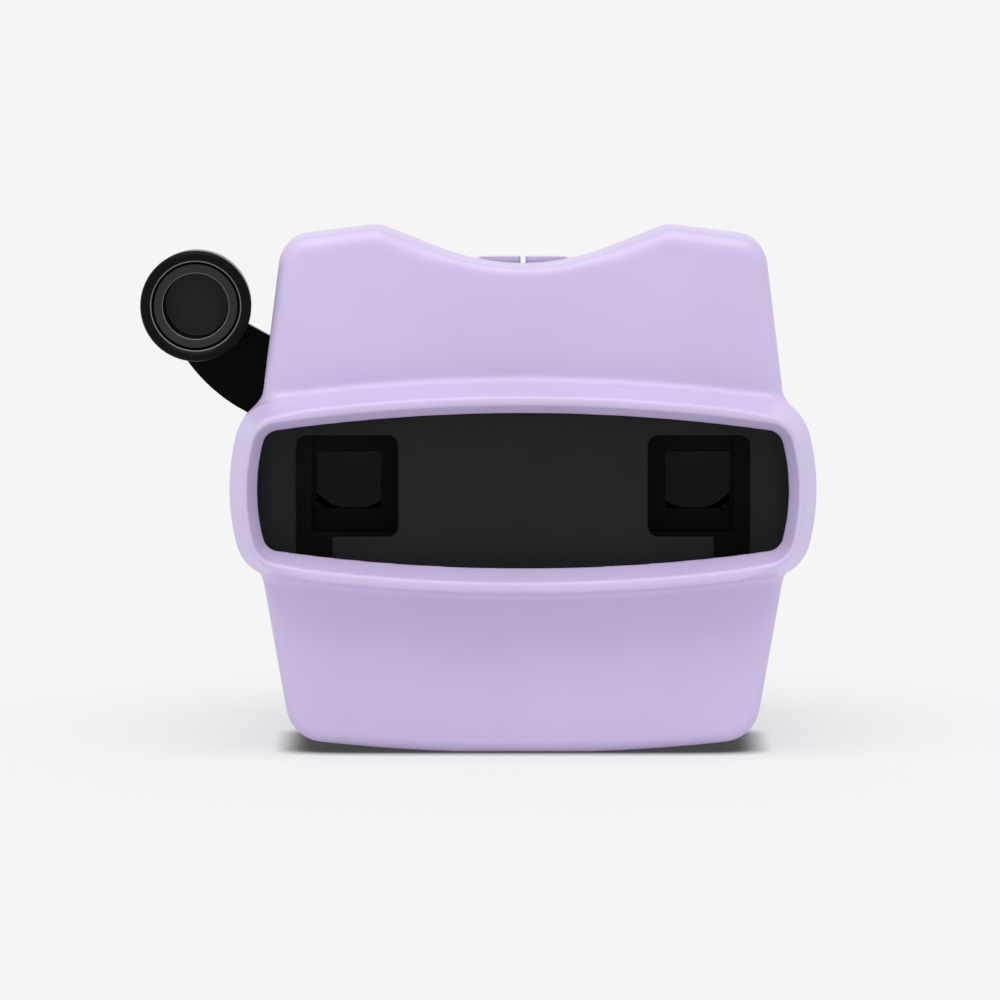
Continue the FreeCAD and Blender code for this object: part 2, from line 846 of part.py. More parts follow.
def revolve(body, sketch, name, line, cuts):
    """Turns the sketch fully about one of its construction lines."""
    before = volume_of(body)
    feature = body.newObject("PartDesign::" + ("Groove" if cuts else "Revolution"), name)
    feature.Profile = sketch
    feature.ReferenceAxis = (sketch, [line])
    feature.Angle = 360
    settle(body, name, before, not cuts)


def add_axis(sketch, x):
    """A construction line up the sketch through x, returned by its reference name."""
    first = sketch.GeometryCount
    place = float(as_size(x))
    sketch.addGeometry(Part.LineSegment(Vector(place, 0, 0), Vector(place, S.wall.value, 0)), True)
    add_bound(sketch, at_point(first, 1, x, as_size(0)) + at_point(first, 2, x, S.wall))
    return "Axis0"


def make_nose_relief(body):
    """A round scoop under the block for the nose; its axis rises towards the face."""
    sketch = sketch_at(body, "nose_outline", S.eyepiece_depth)
    turn = FreeCAD.Placement(sketch.AttachmentOffset.Base, FreeCAD.Rotation(Vector(1, 0, 0), 1))
    sketch.AttachmentOffset = turn
    bind(sketch, "AttachmentOffset.Base.y", eye_height - S.eyepiece_half_height)
    bind(sketch, "AttachmentOffset.Base.z", -S.eyepiece_depth)
    bind(sketch, "AttachmentOffset.Rotation.Angle", S.nose_tilt)
    draw_circle(sketch, 0, 0, S.nose_radius)
    pocket(body, sketch, "nose_scoop", 2 * (S.eyepiece_depth - nose_start), False, True)


def make_thumb_tab(body):
    """The round-cornered tab behind the finger notch."""
    side = S.tab_half_width
    top = tab_height
    knee = S.tab_corner_radius
    low = notch_height - 2 * S.wall
    sketch = sketch_at(body, "tab_outline", as_size(0))
    corners = [(-side, low), (side, low), (side, top - knee), (side - knee, top),
               (knee - side, top), (-side, top - knee)]
    draw_polygon(sketch, corners, {2: knee, 4: knee})
    pad(body, sketch, "thumb_tab", S.tab_depth, True)


def make_slit(body):
    """The narrow slit through the thumb tab and the wall behind it."""
    sketch = sketch_at(body, "slit_outline", as_size(0))
    draw_rectangle(sketch, -S.slit_width / 2, S.slit_width / 2, tab_height - S.slit_depth, tab_height + S.wall)
    pocket(body, sketch, "slit", S.rear_depth)


# Baffle, guide and gate

def mirrored(corners):
    return [(-x, z) for x, z in reversed(corners)]


def both_halves(right):
    """A closed outline from its right half, listed upwards."""
    return right + mirrored(right)


def polar(reach, offset, angle, height=None):
    """A point by its reach along a ray from the pivot, rising to the left, and its offset above the ray."""
    middle = eye_height if height is None else height
    return (offset * sine(angle) - reach * cosine(angle), middle + reach * sine(angle) + offset * cosine(angle))


def make_baffle():
    """The dark dish behind the window, coved at both ends, with the two light apertures."""
    body = new_body("front_baffle")
    inset = S.wall + S.baffle_clearance
    outline = sketch_at(body, "dish_outline", bead_back)
    draw_barrel(outline, S.ring_half_width - inset, S.ring_half_height - inset, inset)
    pad(body, outline, "dish", baffle_back - bead_back, True)

    reach = cove_reach
    cove = S.baffle_cove_radius
    flat = reach - cove
    level = baffle_front - cove
    beyond = bead_back - S.wall
    front = sketch_on(body, "front_hollow_outline", "XY_Plane", eye_height)
    corners = [(-reach, beyond), (reach, beyond), (reach, level), (flat, baffle_front), (-flat, baffle_front),
               (-reach, level)]
    draw_polygon(front, corners, {2: cove, 4: cove})
    pocket(body, front, "front_hollow", 2 * S.ring_half_height, False, True)

    outer = reach + S.baffle_thickness
    side = S.ring_half_width
    corner = [(outer, beyond), (side, beyond), (side, baffle_back + S.wall), (flat, baffle_back + S.wall),
              (flat, baffle_back), (outer, level)]
    relief = sketch_on(body, "back_relief_outline", "XY_Plane", eye_height)
    draw_polygon(relief, corner, {4: -(cove + S.baffle_thickness)})
    draw_polygon(relief, mirrored(corner), {0: -(cove + S.baffle_thickness)})
    pocket(body, relief, "back_relief", 2 * S.ring_half_height, False, True)

    low = eye_height - S.aperture_height / 2
    high = eye_height + S.aperture_height / 2
    near = half_stereo - S.aperture_width / 2
    far = half_stereo + S.aperture_width / 2
    notch = far - S.notch_slot_width
    foot = low - S.notch_slot_drop
    knee = S.aperture_corner_radius
    aperture = [(near + knee, low), (notch, low), (notch, foot), (far, foot), (far, high - knee),
                (far - knee, high), (near + knee, high), (near, high - knee), (near, low + knee)]
    openings = sketch_at(body, "apertures_outline", baffle_back)
    draw_polygon(openings, aperture, {4: knee, 6: knee, 8: knee})
    draw_polygon(openings, mirrored(aperture), {3: knee, 1: knee, 8: knee})
    pocket(body, openings, "apertures", 2 * S.baffle_thickness, True)
    return body


def plate_outline():
    """The outline that the reel guide and the reel gate share."""
    return both_halves([
        (S.guide_foot_half_width, plate_foot),
        (S.guide_foot_half_width, eye_height - S.guide_shoulder_below),
        (S.guide_shoulder_half_width, eye_height - S.guide_shoulder_below),
        (S.waist_half_width - S.wall - S.guide_inset, eye_height - S.waist_reach),
        (S.waist_half_width - S.wall - S.guide_inset, eye_height + S.waist_reach),
        (S.guide_top_half_width, eye_height + S.guide_top_above),
    ])


def claw_slot():
    """Corners of the curved slot for the claw's tip, and the arcs between them."""
    inner = S.claw_reach - S.claw_tip_thickness / 2 - S.claw_slot_clearance
    outer = S.claw_reach + S.claw_tip_thickness / 2 + S.claw_slot_clearance
    half = S.claw_tip_width / (2 * S.claw_reach) * (180 / math.pi)
    start = S.claw_angle + half + S.claw_slot_overrun
    end = S.claw_angle - S.lever_sweep - half - S.claw_slot_overrun
    corners = [polar(outer, 0, start), polar(outer, 0, end), polar(inner, 0, end), polar(inner, 0, start)]
    return corners, {0: outer, 2: -inner}


def draw_boxes(sketch, places, half_width, half_height):
    for x, z in places:
        draw_rectangle(sketch, x - half_width, x + half_width, z - half_height, z + half_height)


def make_guide():
    """The front plate of the reel channel, with the lever's pivot post."""
    body = new_body("reel_front_guide")
    outline = sketch_at(body, "plate_outline", guide_back)
    draw_polygon(outline, plate_outline())
    pad(body, outline, "plate", S.guide_thickness)
    low = eye_height - S.rest_post_rise
    high = eye_height + S.rest_post_rise
    half = S.rest_post_width / 2
    rests = sketch_at(body, "rest_posts_outline", guide_front + S.guide_thickness / 2)
    side = S.rest_post_offset
    draw_boxes(rests, [(-side, low), (side, low), (side, high)], half, half)
    pad(body, rests, "rest_posts", guide_front + S.guide_thickness / 2 - baffle_back)
    middle = (as_size(0), eye_height)
    bosses(body, "pivot_post", [middle], S.pivot_radius, guide_front + S.guide_thickness / 2, post_end)
    bores(body, "pivot_bore", [middle], screw_bore, post_end, post_end + S.pivot_screw_length + S.wall / 4)
    leg = S.return_offset - S.return_wire
    near = S.peg_reach - S.peg_width / 2
    far = S.peg_reach + S.peg_width / 2
    peg = sketch_at(body, "spring_peg_outline", guide_front + S.guide_thickness / 2)
    draw_polygon(peg, [polar(near, leg, S.peg_angle), polar(far, leg, S.peg_angle),
                       polar(far, leg - S.peg_width, S.peg_angle), polar(near, leg - S.peg_width, S.peg_angle)])
    spring_front = lever_front - S.return_gap - S.return_width
    pad(body, peg, "spring_peg", guide_front + S.guide_thickness / 2 - spring_front + S.peg_width / 4)

    openings = sketch_at(body, "openings_outline", guide_front)
    inner = half_stereo - S.aperture_width / 2
    outer = half_stereo + S.guide_window_reach
    base = eye_height - S.guide_window_half_height
    top = eye_height + S.guide_window_half_height
    draw_rectangle(openings, inner, outer, base, top)
    draw_rectangle(openings, -outer, -inner, base, top)
    corners, arcs = claw_slot()
    draw_polygon(openings, corners, arcs)
    draw_boxes(openings, standoff_places(), screw_hole, screw_hole)
    pocket(body, openings, "openings", S.guide_thickness)
    return body


def make_gate():
    """The rear plate of the reel channel, with the picture apertures and the reel's cradle."""
    body = new_body("reel_gate")
    outline = sketch_at(body, "plate_outline", gate_front)
    draw_polygon(outline, plate_outline())
    pad(body, outline, "plate", S.gate_thickness, True)
    inner = S.reel_diameter / 2 + S.reel_clearance
    outer = inner + S.cradle_thickness
    cradle = sketch_at(body, "cradle_outline", guide_back)
    draw_cradle(cradle, inner, outer)
    pad(body, cradle, "cradle", S.reel_gap + S.gate_thickness / 2, True)
    openings = sketch_at(body, "openings_outline", gate_front)
    half = S.picture_width / 2
    base = eye_height - S.picture_height / 2
    top = eye_height + S.picture_height / 2
    for way in (-1, 1):
        eye = way * half_stereo
        draw_rectangle(openings, eye - half, eye + half, base, top)
    draw_boxes(openings, standoff_places(), screw_hole, screw_hole)
    pocket(body, openings, "openings", S.gate_thickness)
    return body


def draw_cradle(sketch, inner, outer):
    """Two curved rests under the reel, one at each side of its lowest point."""
    straight_down = 270
    near = straight_down + S.cradle_start
    far = straight_down + S.cradle_end
    right = [round_point(inner, near), round_point(outer, near),
             round_point(outer, far), round_point(inner, far)]
    draw_polygon(sketch, right, {1: outer, 3: -inner})
    draw_polygon(sketch, mirrored(right), {1: outer, 3: -inner})


def round_point(radius, angle):
    """A point round the reel's centre, its angle counted from +X towards +Z."""
    return (radius * cosine(angle), eye_height + radius * sine(angle))


def new_part(kind, name, sizes, base=(0, 0, 0)):
    """A primitive solid with bound sizes; base gives the place of its origin."""
    item = doc.addObject("Part::" + kind, name)
    for key, size in sizes.items():
        bind(item, key, size)
    for key, size in zip("xyz", base):
        bind(item, "Placement.Base." + key, size)
    return item


def new_frustum(name, eye, front, rear):
    """A rectangular frustum along Y between half widths and half heights at its two ends."""
    return new_part("Wedge", name, {
        "Xmin": eye - front[0], "Xmax": eye + front[0], "X2min": eye - rear[0], "X2max": eye + rear[0],
        "Ymin": gate_back, "Ymax": neck_end,
        "Zmin": eye_height - front[1], "Zmax": eye_height + front[1],
        "Z2min": eye_height - rear[1], "Z2max": eye_height + rear[1],
    })


def make_tunnel(name, way):
    """The square light tunnel from one picture aperture to its lens."""
    eye = way * half_stereo
    front = (S.picture_width / 2 + S.tunnel_margin, S.picture_height / 2 + S.tunnel_margin)
    rear = (S.tunnel_end_half, S.tunnel_end_half)
    outer = new_frustum(name + "_outer", eye, [half + S.tunnel_wall for half in front],
                        [half + S.tunnel_wall for half in rear])
    wide, high = [half + S.tunnel_flange for half in front]
    flange = new_part("Box", name + "_flange", {
        "Length": 2 * wide, "Width": S.tunnel_flange_thickness, "Height": 2 * high,
    }, (eye - wide, gate_back, eye_height - high))
    joined_walls = doc.addObject("Part::MultiFuse", name + "_walls")
    joined_walls.Shapes = [outer, flange]
    joined_walls.Refine = True
    tunnel = doc.addObject("Part::Cut", name)
    tunnel.Base = joined_walls
    tunnel.Tool = new_frustum(name + "_passage", eye, front, rear)
    doc.recompute()
    return tunnel


def make_lens(name, way):
    """A lens flat towards the eye and domed towards the picture."""
    body = new_body(name)
    eye = way * half_stereo
    pole = lens_seat - S.lens_edge - S.lens_sag
    dome = (S.lens_radius * S.lens_radius + S.lens_sag * S.lens_sag) / (2 * S.lens_sag)
    disc = sketch_at(body, "disc_outline", lens_seat)
    draw_circle(disc, eye, eye_height, S.lens_radius)
    pad(body, disc, "disc", lens_seat - pole)
    reach = S.lens_radius + S.wall
    rim = pole + dome - root(dome * dome - reach * reach)
    before = pole - S.wall
    profile = sketch_on(body, "dome_profile", "YZ_Plane", eye)
    low = eye_height - reach
    high = eye_height + reach
    draw_polygon(profile, [(before, low), (rim, low), (rim, high), (before, high)], {1: -dome})
    revolve(body, profile, "dome", add_axis(profile, pole + dome), True)
    return body


# Lever, knob, claw and springs. Those that turn with the lever are drawn with the claw's ray
# along -X, and their placement turns them to the ray's angle at rest.

def lever_body(name):
    body = new_body(name)
    body.Placement = FreeCAD.Placement(Vector(0, 0, eye_height.value), FreeCAD.Rotation(Vector(0, 1, 0), 1))
    bind(body, "Placement.Base.z", eye_height)
    bind(body, "Placement.Rotation.Angle", S.claw_angle)
    return body


def on_lever(reach, offset, angle):
    return polar(reach, offset, angle - S.claw_angle, as_size(0))


def make_lever():
    """The sprung arm: knob end, arm, neck and hub, with the lugs for the claw's pin."""
    body = lever_body("advance_lever")
    arm = S.knob_angle
    neck = S.claw_angle
    rise = S.aperture_height / 2 + S.aperture_clearance
    neck_foot = (rise + S.neck_half_width * cosine(neck)) / sine(neck)
    arm_foot = (rise + S.arm_below * cosine(arm)) / sine(arm)
    inner = S.neck_half_width / 3
    corners = [
        on_lever(S.arm_upper_reach, S.arm_above, arm),
        on_lever(S.arm_flare_reach, -S.arm_flare_below, arm),
        on_lever(S.arm_lower_reach, -S.arm_below, arm),
        on_lever(arm_foot, -S.arm_below, arm),
        on_lever(neck_foot, -S.neck_half_width, neck),
        on_lever(inner, -S.neck_half_width, neck),
        on_lever(inner, S.neck_half_width, neck),
        on_lever(S.neck_reach, S.neck_half_width, neck),
        on_lever(S.arm_bend_reach, S.arm_above, arm),
    ]
    outline = sketch_at(body, "arm_outline", lever_back)
    draw_polygon(outline, corners, {1: S.arm_flare_radius})
    pad(body, outline, "arm", S.lever_thickness)
    ends = sketch_at(body, "hub_outline", lever_back)
    draw_circle(ends, 0, 0, S.hub_radius)
    pad(body, ends, "hub", S.lever_thickness)
    tip = sketch_at(body, "knob_end_outline", lever_back)
    x, z = on_lever(S.knob_reach, as_size(0), arm)
    draw_circle(tip, x, z, S.arm_end_radius)
    pad(body, tip, "knob_end", S.lever_thickness)
    boss = sketch_at(body, "hub_boss_outline", lever_back - S.lever_thickness / 2)
    draw_circle(boss, 0, 0, S.hub_boss_radius)
    boss_end = guide_front - S.pivot_end_play
    pad(body, boss, "hub_boss", boss_end - lever_back + S.lever_thickness / 2, True)

    lugs = sketch_at(body, "lugs_outline", lever_front + S.lever_thickness / 2)
    near = S.claw_width / 2 + S.claw_side_clearance
    far = near + S.claw_lug_thickness
    left = -S.claw_pin_reach - S.claw_lug_half_length
    right = -S.claw_pin_reach + S.claw_lug_half_length
    draw_rectangle(lugs, left, right, near, far)
    draw_rectangle(lugs, left, right, -far, -near)
    reach = S.return_leg - 4 * S.return_wire
    leg = S.return_wire - S.return_offset
    draw_rectangle(lugs, -S.return_leg, -reach, leg, leg + S.return_wire)
    pad(body, lugs, "lugs", S.lever_thickness / 2 + S.claw_pin_height + S.claw_barrel_radius)

    window_near = S.claw_reach - S.claw_tip_thickness / 2 - S.claw_slot_clearance
    window_far = S.claw_reach + S.claw_tip_thickness / 2 + S.claw_slot_clearance
    half = S.claw_tip_width / 2 + S.claw_slot_clearance
    window = sketch_at(body, "window_outline", lever_front)
    draw_rectangle(window, -window_far, -window_near, -half, half)
    pocket(body, window, "claw_window", S.lever_thickness)
    hole = sketch_at(body, "hub_bore_outline", lever_front)
    draw_circle(hole, 0, 0, S.pivot_radius + S.running_clearance)
    pocket(body, hole, "hub_bore", boss_end - lever_front)
    across = sketch_on(body, "pin_holes_outline", "XY_Plane", as_size(0))
    draw_circle(across, -S.claw_pin_reach, pin_depth, S.claw_pin_radius)
    pocket(body, across, "pin_holes", 2 * far, False, True)
    return body


def make_knob():
    """The turned knob with its round recess."""
    body = new_body("lever_knob")
    x, z = polar(S.knob_reach, as_size(0), S.knob_angle)
    face = lever_front - S.knob_height
    floor = face + S.knob_recess_depth
    profile = [(0, floor), (S.knob_recess_radius, floor), (S.knob_recess_radius, face),
               (S.knob_radius - S.knob_bevel, face), (S.knob_radius, face + S.knob_bevel),
               (S.knob_radius, lever_front), (0, lever_front)]
    turned(body, "knob", profile, x, height=z)
    return body


def make_return_spring():
    """The bent spring that pushes the lever back up: one leg on the lever, one on the guide's peg."""
    body = new_body("lever_return_spring")
    outer = S.return_radius
    inner = outer - S.return_wire
    wide = S.return_offset
    narrow = wide - S.return_wire
    outer_start = root(outer * outer - wide * wide)
    inner_start = root(inner * inner - narrow * narrow)
    corners = [
        polar(S.return_leg, -wide, S.claw_angle),
        polar(outer_start, -wide, S.claw_angle),
        polar(outer_start, wide, S.peg_angle),
        polar(S.return_leg, wide, S.peg_angle),
        polar(S.return_leg, narrow, S.peg_angle),
        polar(inner_start, narrow, S.peg_angle),
        polar(inner_start, -narrow, S.claw_angle),
        polar(S.return_leg, -narrow, S.claw_angle),
    ]
    outline = sketch_at(body, "spring_outline", lever_front - S.return_gap)
    draw_polygon(outline, corners, {1: outer, 5: -inner})
    pad(body, outline, "spring", S.return_width)
    return body


def make_claw():
    """The hinged claw, whose tip reaches through lever and guide to the reel."""
    body = lever_body("reel_claw")
    front = pin_depth - S.claw_thickness / 2
    back = pin_depth + S.claw_thickness / 2
    near = S.claw_reach - S.claw_tip_thickness / 2
    far = S.claw_reach + S.claw_tip_thickness / 2
    plate = sketch_on(body, "plate_outline", "XY_Plane", as_size(0))
    draw_rectangle(plate, -S.claw_pin_reach - S.claw_tail, -near, front, back)
    pad(body, plate, "plate", S.claw_width, False, True)
    barrel = sketch_on(body, "barrel_outline", "XY_Plane", as_size(0))
    draw_circle(barrel, -S.claw_pin_reach, pin_depth, S.claw_barrel_radius)
    pad(body, barrel, "barrel", S.claw_width, False, True)
    tip = sketch_on(body, "tip_outline", "XY_Plane", as_size(0))
    draw_rectangle(tip, -far, -near, pin_depth, half_gap - S.claw_tip_gap)
    pad(body, tip, "tip", S.claw_tip_width, False, True)
    bore = sketch_on(body, "bore_outline", "XY_Plane", as_size(0))
    draw_circle(bore, -S.claw_pin_reach, pin_depth, S.claw_pin_radius + S.claw_pin_clearance)
    pocket(body, bore, "bore", 2 * S.claw_width, False, True)
    return body


def make_claw_pin():
    body = lever_body("claw_pin")
    outline = sketch_on(body, "pin_outline", "XY_Plane", as_size(0))
    draw_circle(outline, -S.claw_pin_reach, pin_depth, S.claw_pin_radius)
    length = S.claw_width + 2 * (S.claw_side_clearance + S.claw_lug_thickness)
    pad(body, outline, "pin", length, False, True)
    return body


def draw_arch(sketch, middle, half_length, seat, crest, thickness):
    """A thin arch between two feet at the seat and a crest; middle and the feet lie along the sketch's X."""
    rise = crest - seat
    rise = rise if rise.value > 0 else -rise
    outer = (half_length * half_length + rise * rise) / (2 * rise)
    inner = outer - thickness
    centre = outer - rise
    inner_half = root(inner * inner - centre * centre)
    if float(crest) > float(seat):
        corners = [(middle - half_length, seat), (middle - inner_half, seat),
                   (middle + inner_half, seat), (middle + half_length, seat)]
        draw_polygon(sketch, corners, {1: -inner, 3: outer})
    else:
        corners = [(middle + half_length, seat), (middle + inner_half, seat),
                   (middle - inner_half, seat), (middle - half_length, seat)]
        draw_polygon(sketch, corners, {1: -inner, 3: outer})


def make_claw_spring():
    """The arched leaf between the lever and the claw's tail."""
    body = lever_body("claw_spring")
    outline = sketch_on(body, "leaf_outline", "XY_Plane", as_size(0))
    middle = -S.claw_pin_reach - S.claw_tail + S.claw_leaf_half_length
    draw_arch(outline, middle, S.claw_leaf_half_length, lever_front, pin_depth + S.claw_thickness / 2,
              S.leaf_thickness)
    pad(body, outline, "leaf", S.claw_leaf_width, False, True)
    return body


def make_pressure_springs():
    """The two arched leaves that press the reel against its gate."""
    body = new_body("reel_pressure_springs")
    body.AllowCompound = True
    for way, name in ((-1, "left"), (1, "right")):
        outline = sketch_on(body, "leaf_outline_" + name, "YZ_Plane", way * S.press_leaf_offset)
        draw_standing_arch(outline, eye_height + S.press_leaf_above, S.press_leaf_half_length, guide_back,
                           S.press_leaf_rise, S.leaf_thickness)
        pad(body, outline, "leaf_" + name, S.press_leaf_width, False, True)
    return body


def draw_standing_arch(sketch, middle, half_length, seat, rise, thickness):
    """A thin arch whose feet stand one above the other; its crest points towards the eyes."""
    outer = (half_length * half_length + rise * rise) / (2 * rise)
    inner = outer - thickness
    centre = outer - rise
    inner_half = root(inner * inner - centre * centre)
    corners = [(seat, middle - half_length), (seat, middle + half_length),
               (seat, middle + inner_half), (seat, middle - inner_half)]
    draw_polygon(sketch, corners, {0: outer, 2: -inner})


# Screws

def screw_group(name, places, seat, way, radius, length, head_radius, head_height):
    """Six-sided screws side by side: way is 1 when their heads point towards the eyes."""
    body = new_body(name)
    body.AllowCompound = True
    heads = way > 0
    shanks = sketch_at(body, "shanks_outline", seat)
    for x, z in places:
        draw_circle(shanks, x, z, radius)
    pad(body, shanks, "shanks", length, not heads)
    caps = sketch_at(body, "heads_outline", seat)
    for x, z in places:
        draw_hexagon(caps, x, z, head_radius)
    pad(body, caps, "heads", head_height, heads)
    return body


def draw_hexagon(sketch, x, z, radius):
    """A six-sided outline by the radius of its corners."""
    turns = [as_size(360 / 6 * number) for number in range(6)]
    draw_polygon(sketch, [(x + radius * cosine(turn), z + radius * sine(turn)) for turn in turns])


def make_plate_screws(name, seat, way):
    return screw_group(name, standoff_places(), seat, way, S.screw_radius, S.plate_screw_length,
                       S.screw_head_radius, S.screw_head_height)


def make_pivot_screw():
    """The screw in the pivot post; its broad head keeps the lever on."""
    return screw_group("pivot_screw", [(as_size(0), eye_height)], post_end, -1, S.screw_radius,
                       S.pivot_screw_length, S.flange_radius, S.flange_thickness)


def make_case_screws():
    return screw_group("case_screws", case_places(), S.case_well_floor, 1, S.case_screw_radius,
                       S.case_screw_length, S.case_head_radius, S.case_head_height)


# The finished pieces, checked and written

def check_document():
    doc.recompute()
    for item in doc.Objects:
        if "Invalid" in item.State or "Error" in item.State:
            raise RuntimeError("%s is not valid: %s" % (item.Label, item.State))


def write_pieces(pieces):
    os.makedirs("parts", exist_ok=True)
    for piece in pieces:
        if piece.Shape.isNull() or not piece.Shape.isValid():
            raise RuntimeError("%s has no valid shape" % piece.Label)
    for piece in pieces:
        piece.Shape.exportStep("parts/%s.step" % piece.Label)


pieces = [
    make_front_shell(),
    make_rear_shell(),
    make_baffle(),
    make_guide(),
    make_gate(),
    make_tunnel("light_tunnel_left", -1),
    make_tunnel("light_tunnel_right", 1),
    make_lens("lens_left", -1),
    make_lens("lens_right", 1),
    make_lever(),
    make_knob(),
    make_pivot_screw(),
    make_return_spring(),
    make_claw(),
    make_claw_pin(),
    make_claw_spring(),
    make_pressure_springs(),
    make_plate_screws("guide_screws", guide_back, 1),
    make_plate_screws("gate_screws", gate_front, -1),
    make_case_screws(),
]
check_document()
write_pieces(pieces)
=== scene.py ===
"""Stereo slide viewer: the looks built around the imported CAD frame."""

import json
import math

import bpy
import numpy as np
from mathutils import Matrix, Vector


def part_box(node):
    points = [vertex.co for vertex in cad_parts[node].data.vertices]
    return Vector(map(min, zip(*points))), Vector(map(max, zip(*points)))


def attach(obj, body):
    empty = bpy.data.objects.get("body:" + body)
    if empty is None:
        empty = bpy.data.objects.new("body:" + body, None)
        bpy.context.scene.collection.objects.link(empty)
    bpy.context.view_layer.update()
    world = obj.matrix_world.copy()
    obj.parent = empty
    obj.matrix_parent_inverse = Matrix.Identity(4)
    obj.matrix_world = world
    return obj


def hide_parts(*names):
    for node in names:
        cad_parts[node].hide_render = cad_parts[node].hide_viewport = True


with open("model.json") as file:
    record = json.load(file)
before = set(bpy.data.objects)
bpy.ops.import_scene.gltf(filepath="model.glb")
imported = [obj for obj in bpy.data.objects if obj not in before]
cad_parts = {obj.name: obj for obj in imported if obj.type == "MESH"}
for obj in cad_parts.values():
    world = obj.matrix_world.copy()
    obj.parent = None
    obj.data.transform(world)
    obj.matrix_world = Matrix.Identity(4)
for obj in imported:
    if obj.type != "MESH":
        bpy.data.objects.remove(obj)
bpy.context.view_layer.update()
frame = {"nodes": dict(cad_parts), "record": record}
NODES = frame["nodes"]

# Linear colours
LILAC = (0.571, 0.485, 0.723)
CHARCOAL = (0.016, 0.0158, 0.0162)
# A darker black for the parts deep inside the body: painted shade for the dim interior behind the window
INNER_SHADE_BLACK = (0.006, 0.006, 0.006)
BLACK = (0.0045, 0.0045, 0.0048)
ARM = (0.0016, 0.0016, 0.0017)
MATT = (0.022, 0.022, 0.022)
# A lighter grey for thin lines along the knob's lip edges: painted highlights
LIP_HIGHLIGHT_GREY = (0.12, 0.12, 0.12)
STEEL = (0.55, 0.55, 0.56)
SPRING = (0.42, 0.42, 0.43)
# Near black tint of the clear lens: painted shade that keeps the view through the eyepieces into the body
# dark; ten times it also dims the lens's reflections
LENS_PAINTED_SHADE = (0.008, 0.0082, 0.0085)
LENS_TINT = 10
FLOOR = 0.92
FLOOR_LIT = 0.36
FLOOR_GLOW = 0.48
BACKDROP = (0.905, 0.905, 0.905)

# Noise scales, in waves per metre, and heights, in metres
MOTTLE_SCALE = 38.0
GLOSS_SCALE = 150.0
WAVE_SCALE = 45.0
WAVE_HEIGHT = 0.00004
SMOOTH_GRAIN = 1500.0
SMOOTH_HEIGHT = 0.000012
COARSE_GRAIN = 1300.0
COARSE_HEIGHT = 0.00003
MATT_HEIGHT = 0.00002
POLISHED_HEIGHT = 0.00001
METAL_STAINS = 400.0
METAL_GLOSS = 900.0
METAL_GRAIN = 3000.0
LENS_GLOSS = 200.0

# Light, floor and camera, in metres and degrees
CONTACT_REACH = 0.006
CONTACT_DARK = 0.12
CONTACT_START = 0.4
CONTACT_END = 0.95
WORLD_STRENGTH = 0.67
SUN_STRENGTH = 1.78
SUN_ANGLE = 60
SUN_TOWARDS = (-0.03, -0.33, 0.94)
FLOOR_REACH = 40.0
FLOOR_SHIFT = 10.0
CAMERA_TILT = 5
CAMERA_TARGET = (0, 0, 0.048)
CAMERA_DISTANCE = 1.5
CAMERA_LENS = 297
CAMERA_SHIFT = (-0.023, -0.0197)

# The knob, in metres; depths run from its front to its back
KNOB_ROLL = 0.00095
KNOB_RIM = 0.0019
KNOB_BACK_INSET = 0.0006
KNOB_BACK_ROUND = 0.0004
KNOB_SKIRT = 0.0028
KNOB_FACE = 0.0005
KNOB_LIP = 0.00013
KNOB_LIP_INSET = 0.0001
KNOB_LIP_OUTSET = 0.00015
KNOB_GROOVE = ((0.0002, 0.0013), (0.0004, 0.0014), (0.00055, 0.0013))
KNOB_GROOVE_END = 0.0007
KNOB_MATT_INSET = 0.0006
# How far the painted lip highlights reach from each lip edge
KNOB_HIGHLIGHT_REACH = 0.00016
KNOB_RECESS_RADIUS = 0.0059
KNOB_RECESS_DEPTH = 0.0062
KNOB_RECESS_ROUND = 0.0005
KNOB_TAPER = 0.0001
KNOB_MATT_SHARE = 0.85
KNOB_MATT_FACING = 0.6

# The front shell's outline in millimetres, with (x, z, radius) corners
EYE = 48.0
FOOT_RADIUS = 330.0
FOOT_DROP = 0.218
FOOT_PLACES = (12, 17, 22, 27, 32, 36)
BASE_CORNER = (41.8, 2.44, 7.0)
WAIST_LOW = (46.8, 31, 0)
WAIST_HIGH = (46.8, 65, 0)
TOP_CORNER = (43.4, 92.7, 5.5)
HORN_CORNER = (26.0, 94.85, 5.0)
NOTCH_RADIUS = 41.54
NOTCH_MIDDLE = 129.24
NOTCH_PLACES = (15.5, 13, 10, 7, 3.5)

# The front shell's depths and walls in millimetres; depths run to the front from the parting plane
WALL = 2.0
PANEL_DEPTH = 16.0
RING_DEPTH = 26.0
RING_HALF_WIDTH = 52.7
RING_HALF_HEIGHT = 19.0
CROWN_RADIUS = 320.0
SIDE_RADIUS = 40.0
CORNER_RADIUS = 8.0
TURN_REACH = 41.0
TURN_DEPTH = 19.2
TURN_RADIUS = RING_HALF_WIDTH - TURN_REACH
MOUTH_DEPTH = 21.0
MOUTH_WALL = 5.2
MOUTH_LIP = 3.2
MOUTH_SLANT = 0.92
OVERCUT = 1.0

# Edges, drafts and fillets of the front shell, and how they change over its face
PANEL_EDGE = 2.2
PANEL_EDGE_ABOVE = 0.9
PANEL_EDGE_NOTCH = 1.3
RING_EDGE = 0.5
MOUTH_EDGE = 0.45
CUT_EDGE = 0.2
RING_DRAFT = 1.75
RING_DRAFT_BESIDE = 0.85
RING_DRAFT_BELOW = 0.8
DRAFT_START = 16.5
DRAFT_START_BESIDE = 2.7
RING_FILLET = 1.6
RING_FILLET_BESIDE = 0.5
MOUTH_LIP_BELOW = 0.5
ABOVE_REACH = 10.0
BELOW_REACH = 14.0
NOTCH_OUTER = 18.0
NOTCH_INNER = 12.0
BESIDE_START = 39.0
BESIDE_END = 48.0

